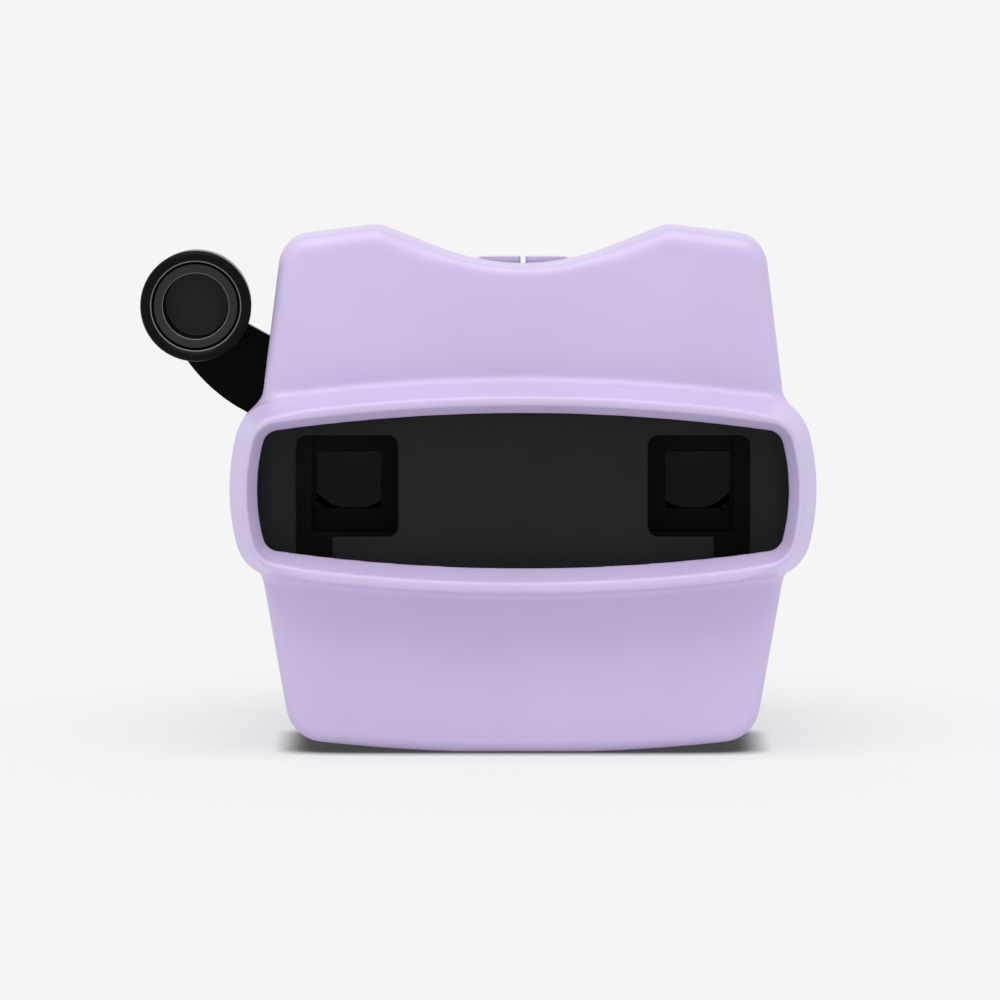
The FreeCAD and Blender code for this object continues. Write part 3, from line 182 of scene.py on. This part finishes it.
# Posts, bores and slots of the front shell
POST_END = PANEL_DEPTH - WALL + 0.5
GUIDE_DEPTH = 3.25
STANDOFF_PLACE = (39.2, 80.35)
STANDOFF_HALF = 2.8
STANDOFF_BORE = 1.3
BOSS_PLACE = (35.0, 9.0)
BOSS_HALF = 3.8
BOSS_BORE = 1.55
LEDGE_HALF_WIDTH = 6.0
LEDGE_MIDDLE = 6.25
LEDGE_HALF_HEIGHT = 2.75
LEVER_SLOT_START = 39.0
LEVER_SLOT_MIDDLE = 44.83
LEVER_SLOT_HALF_HEIGHT = 32.2
LEVER_SLOT_DEPTH = 6.2
LEVER_SLOT_HALF_DEPTH = 2.0
REEL_SLOT_START = 65.5
REEL_SLOT_DEPTH = 1.25

# The grid on which the front shell's skin is worked out, in millimetres
SKIN_LOW = (-54.3, -0.9, -1.2)
SKIN_HIGH = (54.3, 27.3, 96.6)
SKIN_CELL = 0.5
OUTLINE_LOW = (-56, -4)
OUTLINE_HIGH = (56, 100)
OUTLINE_CELL = 0.25
SLOPE_STEP = 0.02
SETTLE_TURNS = 6
EVEN_TURNS = (2, 3)
LONGEST_MOVE = 0.3
MILLIMETRE = 0.001


def new_material(name):
    material = bpy.data.materials.new(name)
    material.use_nodes = True
    tree = material.node_tree
    shader = tree.nodes["Principled BSDF"]
    return material, tree, shader


def link(tree, source, target):
    tree.links.new(source, target)


def place_on(tree):
    return tree.nodes.new("ShaderNodeTexCoord").outputs["Object"]


def noise(tree, coordinates, scale, detail=3.0, roughness=0.5):
    node = tree.nodes.new("ShaderNodeTexNoise")
    node.inputs["Scale"].default_value = scale
    node.inputs["Detail"].default_value = detail
    node.inputs["Roughness"].default_value = roughness
    link(tree, coordinates, node.inputs["Vector"])
    return node.outputs["Fac"]


def spread(tree, value, low, high, start=0.3, end=0.7):
    """A value that runs from low to high while the input runs from start to end."""
    node = tree.nodes.new("ShaderNodeMapRange")
    node.inputs["From Min"].default_value = start
    node.inputs["From Max"].default_value = end
    node.inputs["To Min"].default_value = low
    node.inputs["To Max"].default_value = high
    link(tree, value, node.inputs["Value"])
    return node.outputs["Result"]


def blended(tree, factor, first, second):
    node = tree.nodes.new("ShaderNodeMix")
    node.data_type = "RGBA"
    node.inputs["A"].default_value = (*first, 1)
    node.inputs["B"].default_value = (*second, 1)
    link(tree, factor, node.inputs["Factor"])
    return node.outputs["Result"]


def bumped(tree, height, distance, under=None):
    node = tree.nodes.new("ShaderNodeBump")
    node.inputs["Strength"].default_value = 1.0
    node.inputs["Distance"].default_value = distance
    link(tree, height, node.inputs["Height"])
    if under is not None:
        link(tree, under, node.inputs["Normal"])
    return node.outputs["Normal"]


def rounded(tree, radius):
    """A normal that runs softly over the edges, as on a moulding."""
    node = tree.nodes.new("ShaderNodeBevel")
    node.samples = 6
    node.inputs["Radius"].default_value = radius
    return node.outputs["Normal"]


def shaded(colour, share):
    return tuple(min(1.0, value * share) for value in colour)


def plastic(name, colour, gloss, grain, height, variation=0.03, edge=0.0, shine=0.5):
    """Moulded plastic: a faint flow mottle, a fine grain and a slow waviness in the skin."""
    material, tree, shader = new_material(name)
    place = place_on(tree)
    mottle = spread(tree, noise(tree, place, MOTTLE_SCALE, 4.0), 0.0, 1.0)
    tone = blended(tree, mottle, shaded(colour, 1 - variation), shaded(colour, 1 + variation))
    link(tree, tone, shader.inputs["Base Color"])
    dull = spread(tree, noise(tree, place, GLOSS_SCALE, 5.0), gloss - 0.05, gloss + 0.06)
    link(tree, dull, shader.inputs["Roughness"])
    soft = rounded(tree, edge) if edge else None
    wave = bumped(tree, noise(tree, place, WAVE_SCALE, 1.0), WAVE_HEIGHT, soft)
    fine = bumped(tree, noise(tree, place, grain, 3.0, 0.6), height, wave)
    link(tree, fine, shader.inputs["Normal"])
    shader.inputs["IOR"].default_value = 1.5
    shader.inputs["Specular IOR Level"].default_value = shine
    return material


def metal(name, colour, gloss):
    material, tree, shader = new_material(name)
    place = place_on(tree)
    stains = spread(tree, noise(tree, place, METAL_STAINS, 4.0), 0.0, 1.0)
    tone = blended(tree, stains, shaded(colour, 0.86), shaded(colour, 1.08))
    link(tree, tone, shader.inputs["Base Color"])
    dull = spread(tree, noise(tree, place, METAL_GLOSS, 3.0), gloss - 0.06, gloss + 0.1)
    link(tree, dull, shader.inputs["Roughness"])
    link(tree, bumped(tree, noise(tree, place, METAL_GRAIN, 2.0), POLISHED_HEIGHT), shader.inputs["Normal"])
    shader.inputs["Metallic"].default_value = 1.0
    return material


def shade_darkened_lens(name):
    """A clear lens tinted near black as painted shade, so that the view into the body stays dark, and whose
    reflections the tint dims, so that it mirrors little of the floor.
    """
    material, tree, shader = new_material(name)
    place = place_on(tree)
    link(tree, spread(tree, noise(tree, place, LENS_GLOSS, 3.0), 0.06, 0.12), shader.inputs["Roughness"])
    shader.inputs["Base Color"].default_value = (*LENS_PAINTED_SHADE, 1)
    shader.inputs["Transmission Weight"].default_value = 1.0
    shader.inputs["IOR"].default_value = 1.28
    shader.inputs["Specular Tint"].default_value = (*shaded(LENS_PAINTED_SHADE, LENS_TINT), 1)
    return material


def seen_directly(tree):
    """One for rays from the camera, a gloss or a clear piece, and zero for the rest of the light."""
    path = tree.nodes.new("ShaderNodeLightPath")
    seen = path.outputs["Is Camera Ray"]
    for kind in ("Is Glossy Ray", "Is Transmission Ray"):
        either = tree.nodes.new("ShaderNodeMath")
        either.operation = "MAXIMUM"
        link(tree, seen, either.inputs[0])
        link(tree, path.outputs[kind], either.inputs[1])
        seen = either.outputs["Value"]
    return seen


def grey(value):
    return (value, value, value)


def floor_material():
    """A pale sweep whose wide shadow is weak and whose contact shadow is tight, as on a light table."""
    material, tree, shader = new_material("pale_floor")
    tree.nodes.remove(shader)
    output = tree.nodes["Material Output"]
    contact = tree.nodes.new("ShaderNodeAmbientOcclusion")
    contact.inputs["Distance"].default_value = CONTACT_REACH
    contact.samples = 12
    depth = spread(tree, contact.outputs["AO"], CONTACT_DARK, 1.0, CONTACT_START, CONTACT_END)
    plain = tree.nodes.new("ShaderNodeBsdfDiffuse")
    plain.inputs["Color"].default_value = (*grey(FLOOR), 1)
    lit = tree.nodes.new("ShaderNodeBsdfDiffuse")
    link(tree, blended(tree, depth, grey(0), grey(FLOOR_LIT)), lit.inputs["Color"])
    glow = tree.nodes.new("ShaderNodeEmission")
    link(tree, blended(tree, depth, grey(0), grey(FLOOR_GLOW)), glow.inputs["Color"])
    table = tree.nodes.new("ShaderNodeAddShader")
    link(tree, lit.outputs["BSDF"], table.inputs[0])
    link(tree, glow.outputs["Emission"], table.inputs[1])
    mix = tree.nodes.new("ShaderNodeMixShader")
    link(tree, seen_directly(tree), mix.inputs["Fac"])
    link(tree, plain.outputs["BSDF"], mix.inputs[1])
    link(tree, table.outputs["Shader"], mix.inputs[2])
    link(tree, mix.outputs["Shader"], output.inputs["Surface"])
    return material


MATERIALS = {
    "lilac_plastic": plastic("lilac_plastic", LILAC, 0.36, SMOOTH_GRAIN, SMOOTH_HEIGHT, edge=0.0014),
    "lilac_skin": plastic("lilac_skin", LILAC, 0.34, SMOOTH_GRAIN, SMOOTH_HEIGHT),
    "dark_plastic": plastic("dark_plastic", CHARCOAL, 0.6, COARSE_GRAIN, COARSE_HEIGHT, 0.08, 0.0008, 0.15),
    # Painted shade: the inner parts take a darker black than the baffle
    "inner_shaded_plastic": plastic("inner_shaded_plastic", INNER_SHADE_BLACK, 0.6, COARSE_GRAIN, COARSE_HEIGHT, 0.08, 0.0008, 0.1),
    "arm_plastic": plastic("arm_plastic", ARM, 0.2, COARSE_GRAIN, POLISHED_HEIGHT, 0.08, 0.0004, 0.03),
    "black_plastic": plastic("black_plastic", BLACK, 0.22, COARSE_GRAIN, POLISHED_HEIGHT, 0.08, shine=0.05),
    "matt_black": plastic("matt_black", MATT, 0.5, COARSE_GRAIN, MATT_HEIGHT, 0.15, shine=0.15),
    # Painted highlight: a lighter grey laid along the knob's lip edges
    "painted_lip_highlight": plastic("painted_lip_highlight", LIP_HIGHLIGHT_GREY, 0.3, COARSE_GRAIN, POLISHED_HEIGHT, 0.3),
    "clear_lens": shade_darkened_lens("clear_lens"),
    "screw_steel": metal("screw_steel", STEEL, 0.3),
    "spring_steel": metal("spring_steel", SPRING, 0.26),
}


def dress_nodes():
    """Every node takes its slot's material, except the lever arm, which takes its own blacker plastic, and
    the parts deep inside, whose darker black is painted shade.
    """
    own = {
        "advance_lever": "arm_plastic",
        "reel_front_guide": "inner_shaded_plastic",
        "reel_gate": "inner_shaded_plastic",
        "light_tunnel_left": "inner_shaded_plastic",
        "light_tunnel_right": "inner_shaded_plastic",
    }
    for entry in frame["record"]["subparts"]:
        node = NODES[entry["node"]]
        node.data.materials.clear()
        node.data.materials.append(MATERIALS[own.get(entry["node"], entry["material_slot"])])


def arc(centre, radius, start, end, steps=8):
    """Points of an (outward, depth) profile round a centre; 0 points outwards and 90 to the front."""
    turns = [math.radians(start + (end - start) * step / steps) for step in range(steps + 1)]
    return [(centre[0] + radius * math.cos(turn), centre[1] - radius * math.sin(turn)) for turn in turns]


def turned_mesh(name, profile, segments=120):
    """Turns an (outward, depth) profile round the Y axis; its first and last points lie on the axis."""
    rings = profile[1:-1]
    points = [(0, profile[0][1], 0)]
    for outward, depth in rings:
        for step in range(segments):
            turn = 2 * math.pi * step / segments
            points.append((outward * math.cos(turn), depth, outward * math.sin(turn)))
    points.append((0, profile[-1][1], 0))
    last = len(points) - 1
    faces = []
    for step in range(segments):
        following = (step + 1) % segments
        faces.append((0, 1 + step, 1 + following))
        for ring in range(len(rings) - 1):
            low = 1 + ring * segments
            high = low + segments
            faces.append((low + step, high + step, high + following, low + following))
        low = 1 + (len(rings) - 1) * segments
        faces.append((low + step, last, low + following))
    mesh = bpy.data.meshes.new(name)
    mesh.from_pydata(points, [], faces)
    mesh.shade_smooth()
    mesh.set_sharp_from_angle(angle=math.radians(40))
    return mesh


def finish_knob(mesh, edges, matt_reach, matt_depth):
    """Faces near the two lip edges take the second material, a lighter grey that paints highlights on them,
    and the flat middle takes the third.
    """
    for face in mesh.polygons:
        reach = math.hypot(face.center.x, face.center.z)
        depth = face.center.y
        if any(math.hypot(reach - outward, depth - low) < KNOB_HIGHLIGHT_REACH for outward, low in edges):
            face.material_index = 1
        elif reach < matt_reach and depth < matt_depth and abs(face.normal.y) > KNOB_MATT_FACING:
            face.material_index = 2


def make_knob():
    """The knob with its rolled rim, its groove and its deep finger recess."""
    low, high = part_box("lever_knob")
    radius = (high[0] - low[0]) / 2
    depth = high[1] - low[1]
    lip = radius - KNOB_RIM
    back = radius - KNOB_BACK_INSET
    inner_lip = KNOB_RECESS_RADIUS + KNOB_LIP_OUTSET
    lip_depth = KNOB_FACE + KNOB_LIP
    foot = KNOB_RECESS_RADIUS - KNOB_TAPER
    round_depth = KNOB_RECESS_DEPTH - KNOB_RECESS_ROUND
    profile = [(0, depth), (back, depth)]
    profile += arc((back, depth - KNOB_BACK_ROUND), KNOB_BACK_ROUND, -90, 0, 4)
    profile += [(back + KNOB_BACK_ROUND, KNOB_ROLL + KNOB_SKIRT)]
    profile += arc((radius - KNOB_ROLL, KNOB_ROLL), KNOB_ROLL, 0, 140, 16)
    profile += [(lip + KNOB_LIP_INSET, KNOB_FACE - KNOB_LIP_INSET)]
    profile += arc((lip, KNOB_FACE), KNOB_LIP, 90, 190, 3)
    profile += [(lip - inward, deep) for inward, deep in KNOB_GROOVE]
    profile += arc((lip - KNOB_GROOVE_END, lip_depth), KNOB_LIP, 0, 90, 3)
    profile += arc((inner_lip, lip_depth), KNOB_LIP, 90, 180, 3)
    profile += [(foot, round_depth)]
    profile += arc((foot - KNOB_RECESS_ROUND, round_depth), KNOB_RECESS_ROUND, 0, -90, 4)
    profile += [(0, KNOB_RECESS_DEPTH)]
    mesh = turned_mesh("turned_knob", profile)
    edges = [(lip, KNOB_FACE), (inner_lip, lip_depth)]
    finish_knob(mesh, edges, lip - KNOB_MATT_INSET, KNOB_MATT_SHARE * depth)
    knob = bpy.data.objects.new("turned_knob", mesh)
    knob.location = ((low[0] + high[0]) / 2, low[1], (low[2] + high[2]) / 2)
    for finish in ("black_plastic", "painted_lip_highlight", "matt_black"):
        knob.data.materials.append(MATERIALS[finish])
    bpy.context.scene.collection.objects.link(knob)
    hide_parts("lever_knob")
    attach(knob, "lever")


def smooth_greater(first, second, radius):
    """The larger of two distances, with a round edge where they meet."""
    over = np.hypot(np.maximum(first + radius, 0), np.maximum(second + radius, 0))
    return np.minimum(np.maximum(first, second) + radius, 0) + over - radius


def smooth_lesser(first, second, radius):
    """The smaller of two distances, with a round hollow where they meet."""
    return -smooth_greater(-first, -second, radius)


def ramp(value, start, end):
    """Zero up to start, one from end on, and a straight rise between them."""
    return np.clip((value - start) / (end - start), 0, 1)


def rounded_path(corners, steps=7):
    """Points of a closed outline whose (x, z, radius) corners are rounded."""
    path = []
    count = len(corners)
    for index, (x, z, radius) in enumerate(corners):
        corner = Vector((x, z))
        if radius == 0:
            path.append(corner)
            continue
        before = (Vector(corners[index - 1][:2]) - corner).normalized()
        after = (Vector(corners[(index + 1) % count][:2]) - corner).normalized()
        half = before.angle(after) / 2
        middle = corner + (before + after).normalized() * (radius / math.sin(half))
        start = corner + before * (radius / math.tan(half)) - middle
        turn = math.pi - 2 * half
        side = 1 if before.x * after.y - before.y * after.x < 0 else -1
        for step in range(steps + 1):
            angle = side * turn * step / steps
            along = start.x * math.cos(angle) - start.y * math.sin(angle)
            up = start.x * math.sin(angle) + start.y * math.cos(angle)
            path.append(middle + Vector((along, up)))
    return path


def slab_path():
    """The front shell's outline: convex foot, flared sides, two horns and the finger notch."""
    right = [(x, FOOT_RADIUS - math.sqrt(FOOT_RADIUS ** 2 - x ** 2) - FOOT_DROP, 0) for x in FOOT_PLACES]
    right += [BASE_CORNER, WAIST_LOW, WAIST_HIGH, TOP_CORNER, HORN_CORNER]
    right += [(x, NOTCH_MIDDLE - math.sqrt(NOTCH_RADIUS ** 2 - x ** 2), 0) for x in NOTCH_PLACES]
    left = [(-x, z, radius) for x, z, radius in reversed(right)]
    return rounded_path(right + [(0, NOTCH_MIDDLE - NOTCH_RADIUS, 0)] + left)


class Outline:
    """Signed distances in millimetres from a closed outline, worked out once on a fine grid."""

    def __init__(self, path, low, high, cell):
        self.low = np.array(low, dtype=float)
        self.cell = cell
        self.shape = [int(round((high[axis] - low[axis]) / cell)) + 1 for axis in (0, 1)]
        lines = [self.low[axis] + cell * np.arange(self.shape[axis]) for axis in (0, 1)]
        x, z = np.meshgrid(*lines, indexing="ij")
        nearest = np.full(x.shape, np.inf)
        inside = np.zeros(x.shape, dtype=bool)
        for start, end in zip(path, path[1:] + path[:1]):
            run = end - start
            if run.length < 1e-6:
                continue
            share = np.clip(((x - start.x) * run.x + (z - start.y) * run.y) / run.length_squared, 0, 1)
            apart = np.hypot(x - start.x - share * run.x, z - start.y - share * run.y)
            nearest = np.minimum(nearest, apart)
            if start.y != end.y:
                crosses = (z < start.y) != (z < end.y)
                inside ^= crosses & (x < start.x + (z - start.y) * run.x / run.y)
        self.values = np.where(inside, -nearest, nearest)

    def at(self, x, z):
        """Distances at any points, blended between the four grid points round each."""
        u = np.clip((x - self.low[0]) / self.cell, 0, self.shape[0] - 1.001)
        w = np.clip((z - self.low[1]) / self.cell, 0, self.shape[1] - 1.001)
        i = u.astype(int)
        k = w.astype(int)
        u = u - i
        w = w - k
        table = self.values
        low = table[i, k] * (1 - u) + table[i + 1, k] * u
        high = table[i, k + 1] * (1 - u) + table[i + 1, k + 1] * u
        return low * (1 - w) + high * w


def barrel(x, z):
    """Distance from the window ring's outline: four crowned sides and four round corners."""
    across = np.abs(x)
    along = np.abs(z - EYE)
    crown_drop = CROWN_RADIUS - RING_HALF_HEIGHT
    side_shift = RING_HALF_WIDTH - SIDE_RADIUS
    crown_reach = CROWN_RADIUS - CORNER_RADIUS
    side_reach = SIDE_RADIUS - CORNER_RADIUS
    apart = math.hypot(side_shift, crown_drop)
    run = (crown_reach ** 2 - side_reach ** 2 + apart ** 2) / (2 * apart)
    rise = math.sqrt(crown_reach ** 2 - run ** 2)
    forward = Vector((side_shift, crown_drop)) / apart
    bend = Vector((0, -crown_drop)) + forward * run + Vector((forward.y, -forward.x)) * rise
    crown = np.hypot(across, along + crown_drop) - CROWN_RADIUS
    side = np.hypot(across - side_shift, along) - SIDE_RADIUS
    beyond_crown = across * (bend.y + crown_drop) > (along + crown_drop) * bend.x
    beyond_side = along * (bend.x - side_shift) > (across - side_shift) * bend.y
    corner = np.hypot(across - bend.x, along - bend.y) - CORNER_RADIUS
    return np.where(beyond_crown & beyond_side, corner, np.maximum(crown, side))


def block(x, z, depth, middle, half, near, far):
    """Distance from a square block along the depth."""
    across = np.maximum(np.abs(x - middle[0]), np.abs(z - middle[1])) - half
    return np.maximum(across, np.maximum(near - depth, depth - far))


def bore(x, z, depth, middle, radius, near, far):
    """Distance from a round bore along the depth."""
    across = np.hypot(x - middle[0], z - middle[1]) - radius
    return np.maximum(across, np.maximum(near - depth, depth - far))


def cased(slab, x, depth, z):
    """Distance from the slab, the ring and their hollow, with the window cut through."""
    slab_edge = slab.at(x, z)
    ring_edge = barrel(x, z)
    across = np.abs(x)
    turn = np.hypot(np.maximum(across - TURN_REACH, 0), np.maximum(TURN_DEPTH - depth, 0))
    above = ramp(z, EYE, EYE + ABOVE_REACH)
    notch = above * ramp(across, NOTCH_OUTER, NOTCH_INNER)
    beside = ramp(across, BESIDE_START, BESIDE_END)
    below = ramp(z, EYE, EYE - BELOW_REACH) * (1 - beside)
    edge = PANEL_EDGE + PANEL_EDGE_ABOVE * above - PANEL_EDGE_NOTCH * notch
    panel = smooth_greater(slab_edge, depth - PANEL_DEPTH, edge)
    draft = RING_DRAFT + RING_DRAFT_BESIDE * beside - RING_DRAFT_BELOW * below
    draft = draft * ramp(depth, DRAFT_START + DRAFT_START_BESIDE * beside, RING_DEPTH)
    ring = np.maximum(ring_edge + draft, turn - TURN_RADIUS)
    ring = smooth_greater(ring, depth - RING_DEPTH, RING_EDGE)
    outer = smooth_lesser(panel, ring, RING_FILLET + RING_FILLET_BESIDE * beside)
    hollow = np.maximum(slab_edge + WALL, depth - PANEL_DEPTH + WALL)
    core = np.maximum(np.maximum(ring_edge + WALL, turn - TURN_RADIUS + WALL), depth - MOUTH_DEPTH)
    solid = smooth_greater(outer, -np.minimum(hollow, core), CUT_EDGE)
    lip = MOUTH_LIP - MOUTH_LIP_BELOW * below
    widening = (MOUTH_WALL - lip) * (RING_DEPTH - depth) / (RING_DEPTH - MOUTH_DEPTH)
    mouth = (ring_edge + lip + widening) * MOUTH_SLANT
    return smooth_greater(solid, -np.maximum(mouth, MOUTH_DEPTH - OVERCUT - depth), MOUTH_EDGE)


def front_shell_distance(slab, x, depth, z):
    """Signed distance from the front shell's skin, in millimetres."""
    solid = cased(slab, x, depth, z)
    for way in (-1, 1):
        standoff = (way * STANDOFF_PLACE[0], STANDOFF_PLACE[1])
        boss = (way * BOSS_PLACE[0], BOSS_PLACE[1])
        solid = np.minimum(solid, block(x, z, depth, standoff, STANDOFF_HALF, GUIDE_DEPTH, POST_END))
        solid = np.minimum(solid, block(x, z, depth, boss, BOSS_HALF, 0.0, POST_END))
        solid = np.maximum(solid, -bore(x, z, depth, standoff, STANDOFF_BORE, -OVERCUT, PANEL_DEPTH - WALL))
        solid = np.maximum(solid, -bore(x, z, depth, boss, BOSS_BORE, -OVERCUT, PANEL_DEPTH - WALL))
    ledge = np.maximum(np.abs(x) - LEDGE_HALF_WIDTH, np.abs(z - LEDGE_MIDDLE) - LEDGE_HALF_HEIGHT)
    ledge = np.maximum(ledge, np.maximum(GUIDE_DEPTH - depth, depth - POST_END))
    solid = np.minimum(solid, ledge)
    slot = np.maximum(x + LEVER_SLOT_START, np.abs(z - LEVER_SLOT_MIDDLE) - LEVER_SLOT_HALF_HEIGHT)
    slot = np.maximum(slot, np.abs(depth - LEVER_SLOT_DEPTH) - LEVER_SLOT_HALF_DEPTH)
    solid = smooth_greater(solid, -slot, CUT_EDGE)
    reel_slot = np.maximum(REEL_SLOT_START - z, depth - REEL_SLOT_DEPTH)
    solid = smooth_greater(solid, -reel_slot, CUT_EDGE)
    return smooth_greater(solid, -depth, CUT_EDGE)


def crossings(field, cells):
    """Each cell's sum of the places where its edges cross the surface, and the number of those edges."""
    total = np.zeros(cells + (3,))
    count = np.zeros(cells)
    for axis in range(3):
        others = [other for other in range(3) if other != axis]
        for first in (0, 1):
            for second in (0, 1):
                near = [slice(0, size) for size in cells]
                near[others[0]] = slice(first, first + cells[others[0]])
                near[others[1]] = slice(second, second + cells[others[1]])
                far = list(near)
                far[axis] = slice(1, cells[axis] + 1)
                a = field[tuple(near)]
                b = field[tuple(far)]
                cut = (a < 0) != (b < 0)
                share = np.where(cut, a / np.where(cut, a - b, 1), 0)
                count += cut
                total[..., axis] += share
                total[..., others[0]] += first * cut
                total[..., others[1]] += second * cut
    return total, count


def surface_quads(solid, number, cells):
    """One face for each grid edge that crosses the surface, between the points of its four cells."""
    quads = []
    for axis in range(3):
        u, w = [(1, 2), (2, 0), (0, 1)][axis]
        near = [slice(1, size) for size in cells]
        near[axis] = slice(0, cells[axis])
        far = list(near)
        far[axis] = slice(1, cells[axis] + 1)
        a = solid[tuple(near)]
        b = solid[tuple(far)]
        for mask, flip in ((a & ~b, False), (~a & b, True)):
            place = np.stack(np.nonzero(mask), axis=1)
            place[:, u] += 1
            place[:, w] += 1
            ring = []
            for step_u, step_w in ((-1, -1), (0, -1), (0, 0), (-1, 0)):
                spot = place.copy()
                spot[:, u] += step_u
                spot[:, w] += step_w
                ring.append(number[spot[:, 0], spot[:, 1], spot[:, 2]])
            quads.append(np.stack(ring[::-1] if flip else ring, axis=1))
    return np.concatenate(quads)


def settled(points, quads, distance, cell):
    """Points moved onto the surface itself, and evened out on the way."""
    edges = np.concatenate([quads[:, [side, (side + 1) % 4]] for side in range(4)])
    start = edges[:, 0]
    end = edges[:, 1]
    count = len(points)
    neighbours = np.bincount(start, minlength=count)[:, None]
    for turn in range(SETTLE_TURNS):
        if turn in EVEN_TURNS:
            pull = np.stack([np.bincount(start, points[end, axis], count) for axis in range(3)], axis=1)
            points = points + 0.5 * (pull / neighbours - points)
        value = distance(*points.T)
        steps = SLOPE_STEP * np.eye(3)
        slope = np.stack([distance(*(points + step).T) - value for step in steps], axis=1) / SLOPE_STEP
        size = np.maximum((slope ** 2).sum(axis=1), 0.25)
        move = -(value / size)[:, None] * slope
        length = np.linalg.norm(move, axis=1)[:, None]
        points = points + move * np.minimum(1, LONGEST_MOVE * cell / np.maximum(length, 1e-9))
    return points


def skin_mesh(name, distance, low, high, cell):
    """A closed mesh on the zero surface of a distance function of (x, depth, z)."""
    counts = [int(math.ceil((high[axis] - low[axis]) / cell)) + 1 for axis in range(3)]
    lines = [low[axis] + cell * np.arange(counts[axis]) for axis in range(3)]
    field = distance(*np.meshgrid(*lines, indexing="ij"))
    cells = tuple(count - 1 for count in counts)
    total, count = crossings(field, cells)
    active = count > 0
    number = np.full(cells, -1)
    number[active] = np.arange(active.sum())
    corner = np.stack(np.nonzero(active), axis=1)
    points = np.array(low) + cell * (corner + total[active] / count[active][:, None])
    quads = surface_quads(field < 0, number, cells)
    points = settled(points, quads, distance, cell)
    placed = np.stack([points[:, 0], -points[:, 1], points[:, 2]], axis=1) * MILLIMETRE
    mesh = bpy.data.meshes.new(name)
    mesh.from_pydata(placed.tolist(), [], quads.tolist())
    mesh.shade_smooth()
    return mesh


def make_front_shell():
    """The front shell with the round edges, the drafted ring and the fillets that the CAD leaves out."""
    slab = Outline(slab_path(), OUTLINE_LOW, OUTLINE_HIGH, OUTLINE_CELL)

    def distance(x, depth, z):
        return front_shell_distance(slab, x, depth, z)

    mesh = skin_mesh("front_skin", distance, SKIN_LOW, SKIN_HIGH, SKIN_CELL)
    shell = bpy.data.objects.new("front_skin", mesh)
    shell.data.materials.append(MATERIALS["lilac_skin"])
    bpy.context.scene.collection.objects.link(shell)
    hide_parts("front_shell")
    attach(shell, "housing")


def make_floor():
    """The floor's middle lies off to one side, so that no edge of its triangles runs under the viewer."""
    left = FLOOR_SHIFT - FLOOR_REACH
    right = FLOOR_SHIFT + FLOOR_REACH
    near = -FLOOR_REACH
    far = FLOOR_REACH
    corners = [(left, near, 0), (right, near, 0), (right, far, 0), (left, far, 0)]
    mesh = bpy.data.meshes.new("floor")
    mesh.from_pydata(corners, [], [(0, 1, 2, 3)])
    floor = bpy.data.objects.new("floor", mesh)
    floor.data.materials.append(floor_material())
    bpy.context.scene.collection.objects.link(floor)


def make_world():
    """Even white light, behind which the camera sees the backdrop's own white."""
    world = bpy.data.worlds.new("studio")
    bpy.context.scene.world = world
    world.use_nodes = True
    tree = world.node_tree
    tree.nodes.clear()
    light = tree.nodes.new("ShaderNodeBackground")
    light.inputs["Color"].default_value = (1, 1, 1, 1)
    light.inputs["Strength"].default_value = WORLD_STRENGTH
    shown = tree.nodes.new("ShaderNodeBackground")
    shown.inputs["Color"].default_value = (*BACKDROP, 1)
    shown.inputs["Strength"].default_value = 1.0
    mix = tree.nodes.new("ShaderNodeMixShader")
    output = tree.nodes.new("ShaderNodeOutputWorld")
    link(tree, seen_directly(tree), mix.inputs["Fac"])
    link(tree, light.outputs["Background"], mix.inputs[1])
    link(tree, shown.outputs["Background"], mix.inputs[2])
    link(tree, mix.outputs["Shader"], output.inputs["Surface"])


def make_sun():
    """A wide softbox above and a little in front."""
    lamp = bpy.data.lights.new("softbox", "SUN")
    lamp.energy = SUN_STRENGTH
    lamp.angle = math.radians(SUN_ANGLE)
    sun = bpy.data.objects.new("softbox", lamp)
    sun.rotation_mode = "QUATERNION"
    sun.rotation_quaternion = Vector(SUN_TOWARDS).to_track_quat("Z", "Y")
    bpy.context.scene.collection.objects.link(sun)


def make_camera():
    """The photograph's camera: far off, straight in front and a little above."""
    tilt = math.radians(CAMERA_TILT)
    data = bpy.data.cameras.new("camera")
    data.sensor_width = 36
    data.lens = CAMERA_LENS
    data.shift_x = CAMERA_SHIFT[0]
    data.shift_y = CAMERA_SHIFT[1]
    data.clip_start = 0.05
    data.clip_end = 200
    camera = bpy.data.objects.new("camera", data)
    back = Vector((0, -math.cos(tilt), math.sin(tilt)))
    camera.location = Vector(CAMERA_TARGET) + CAMERA_DISTANCE * back
    camera.rotation_mode = "XYZ"
    camera.rotation_euler = (math.pi / 2 - tilt, 0, 0)
    bpy.context.scene.collection.objects.link(camera)
    bpy.context.scene.camera = camera


dress_nodes()
make_knob()
make_front_shell()
make_floor()
make_world()
make_sun()
make_camera()
bpy.context.scene.view_settings.view_transform = "Standard"
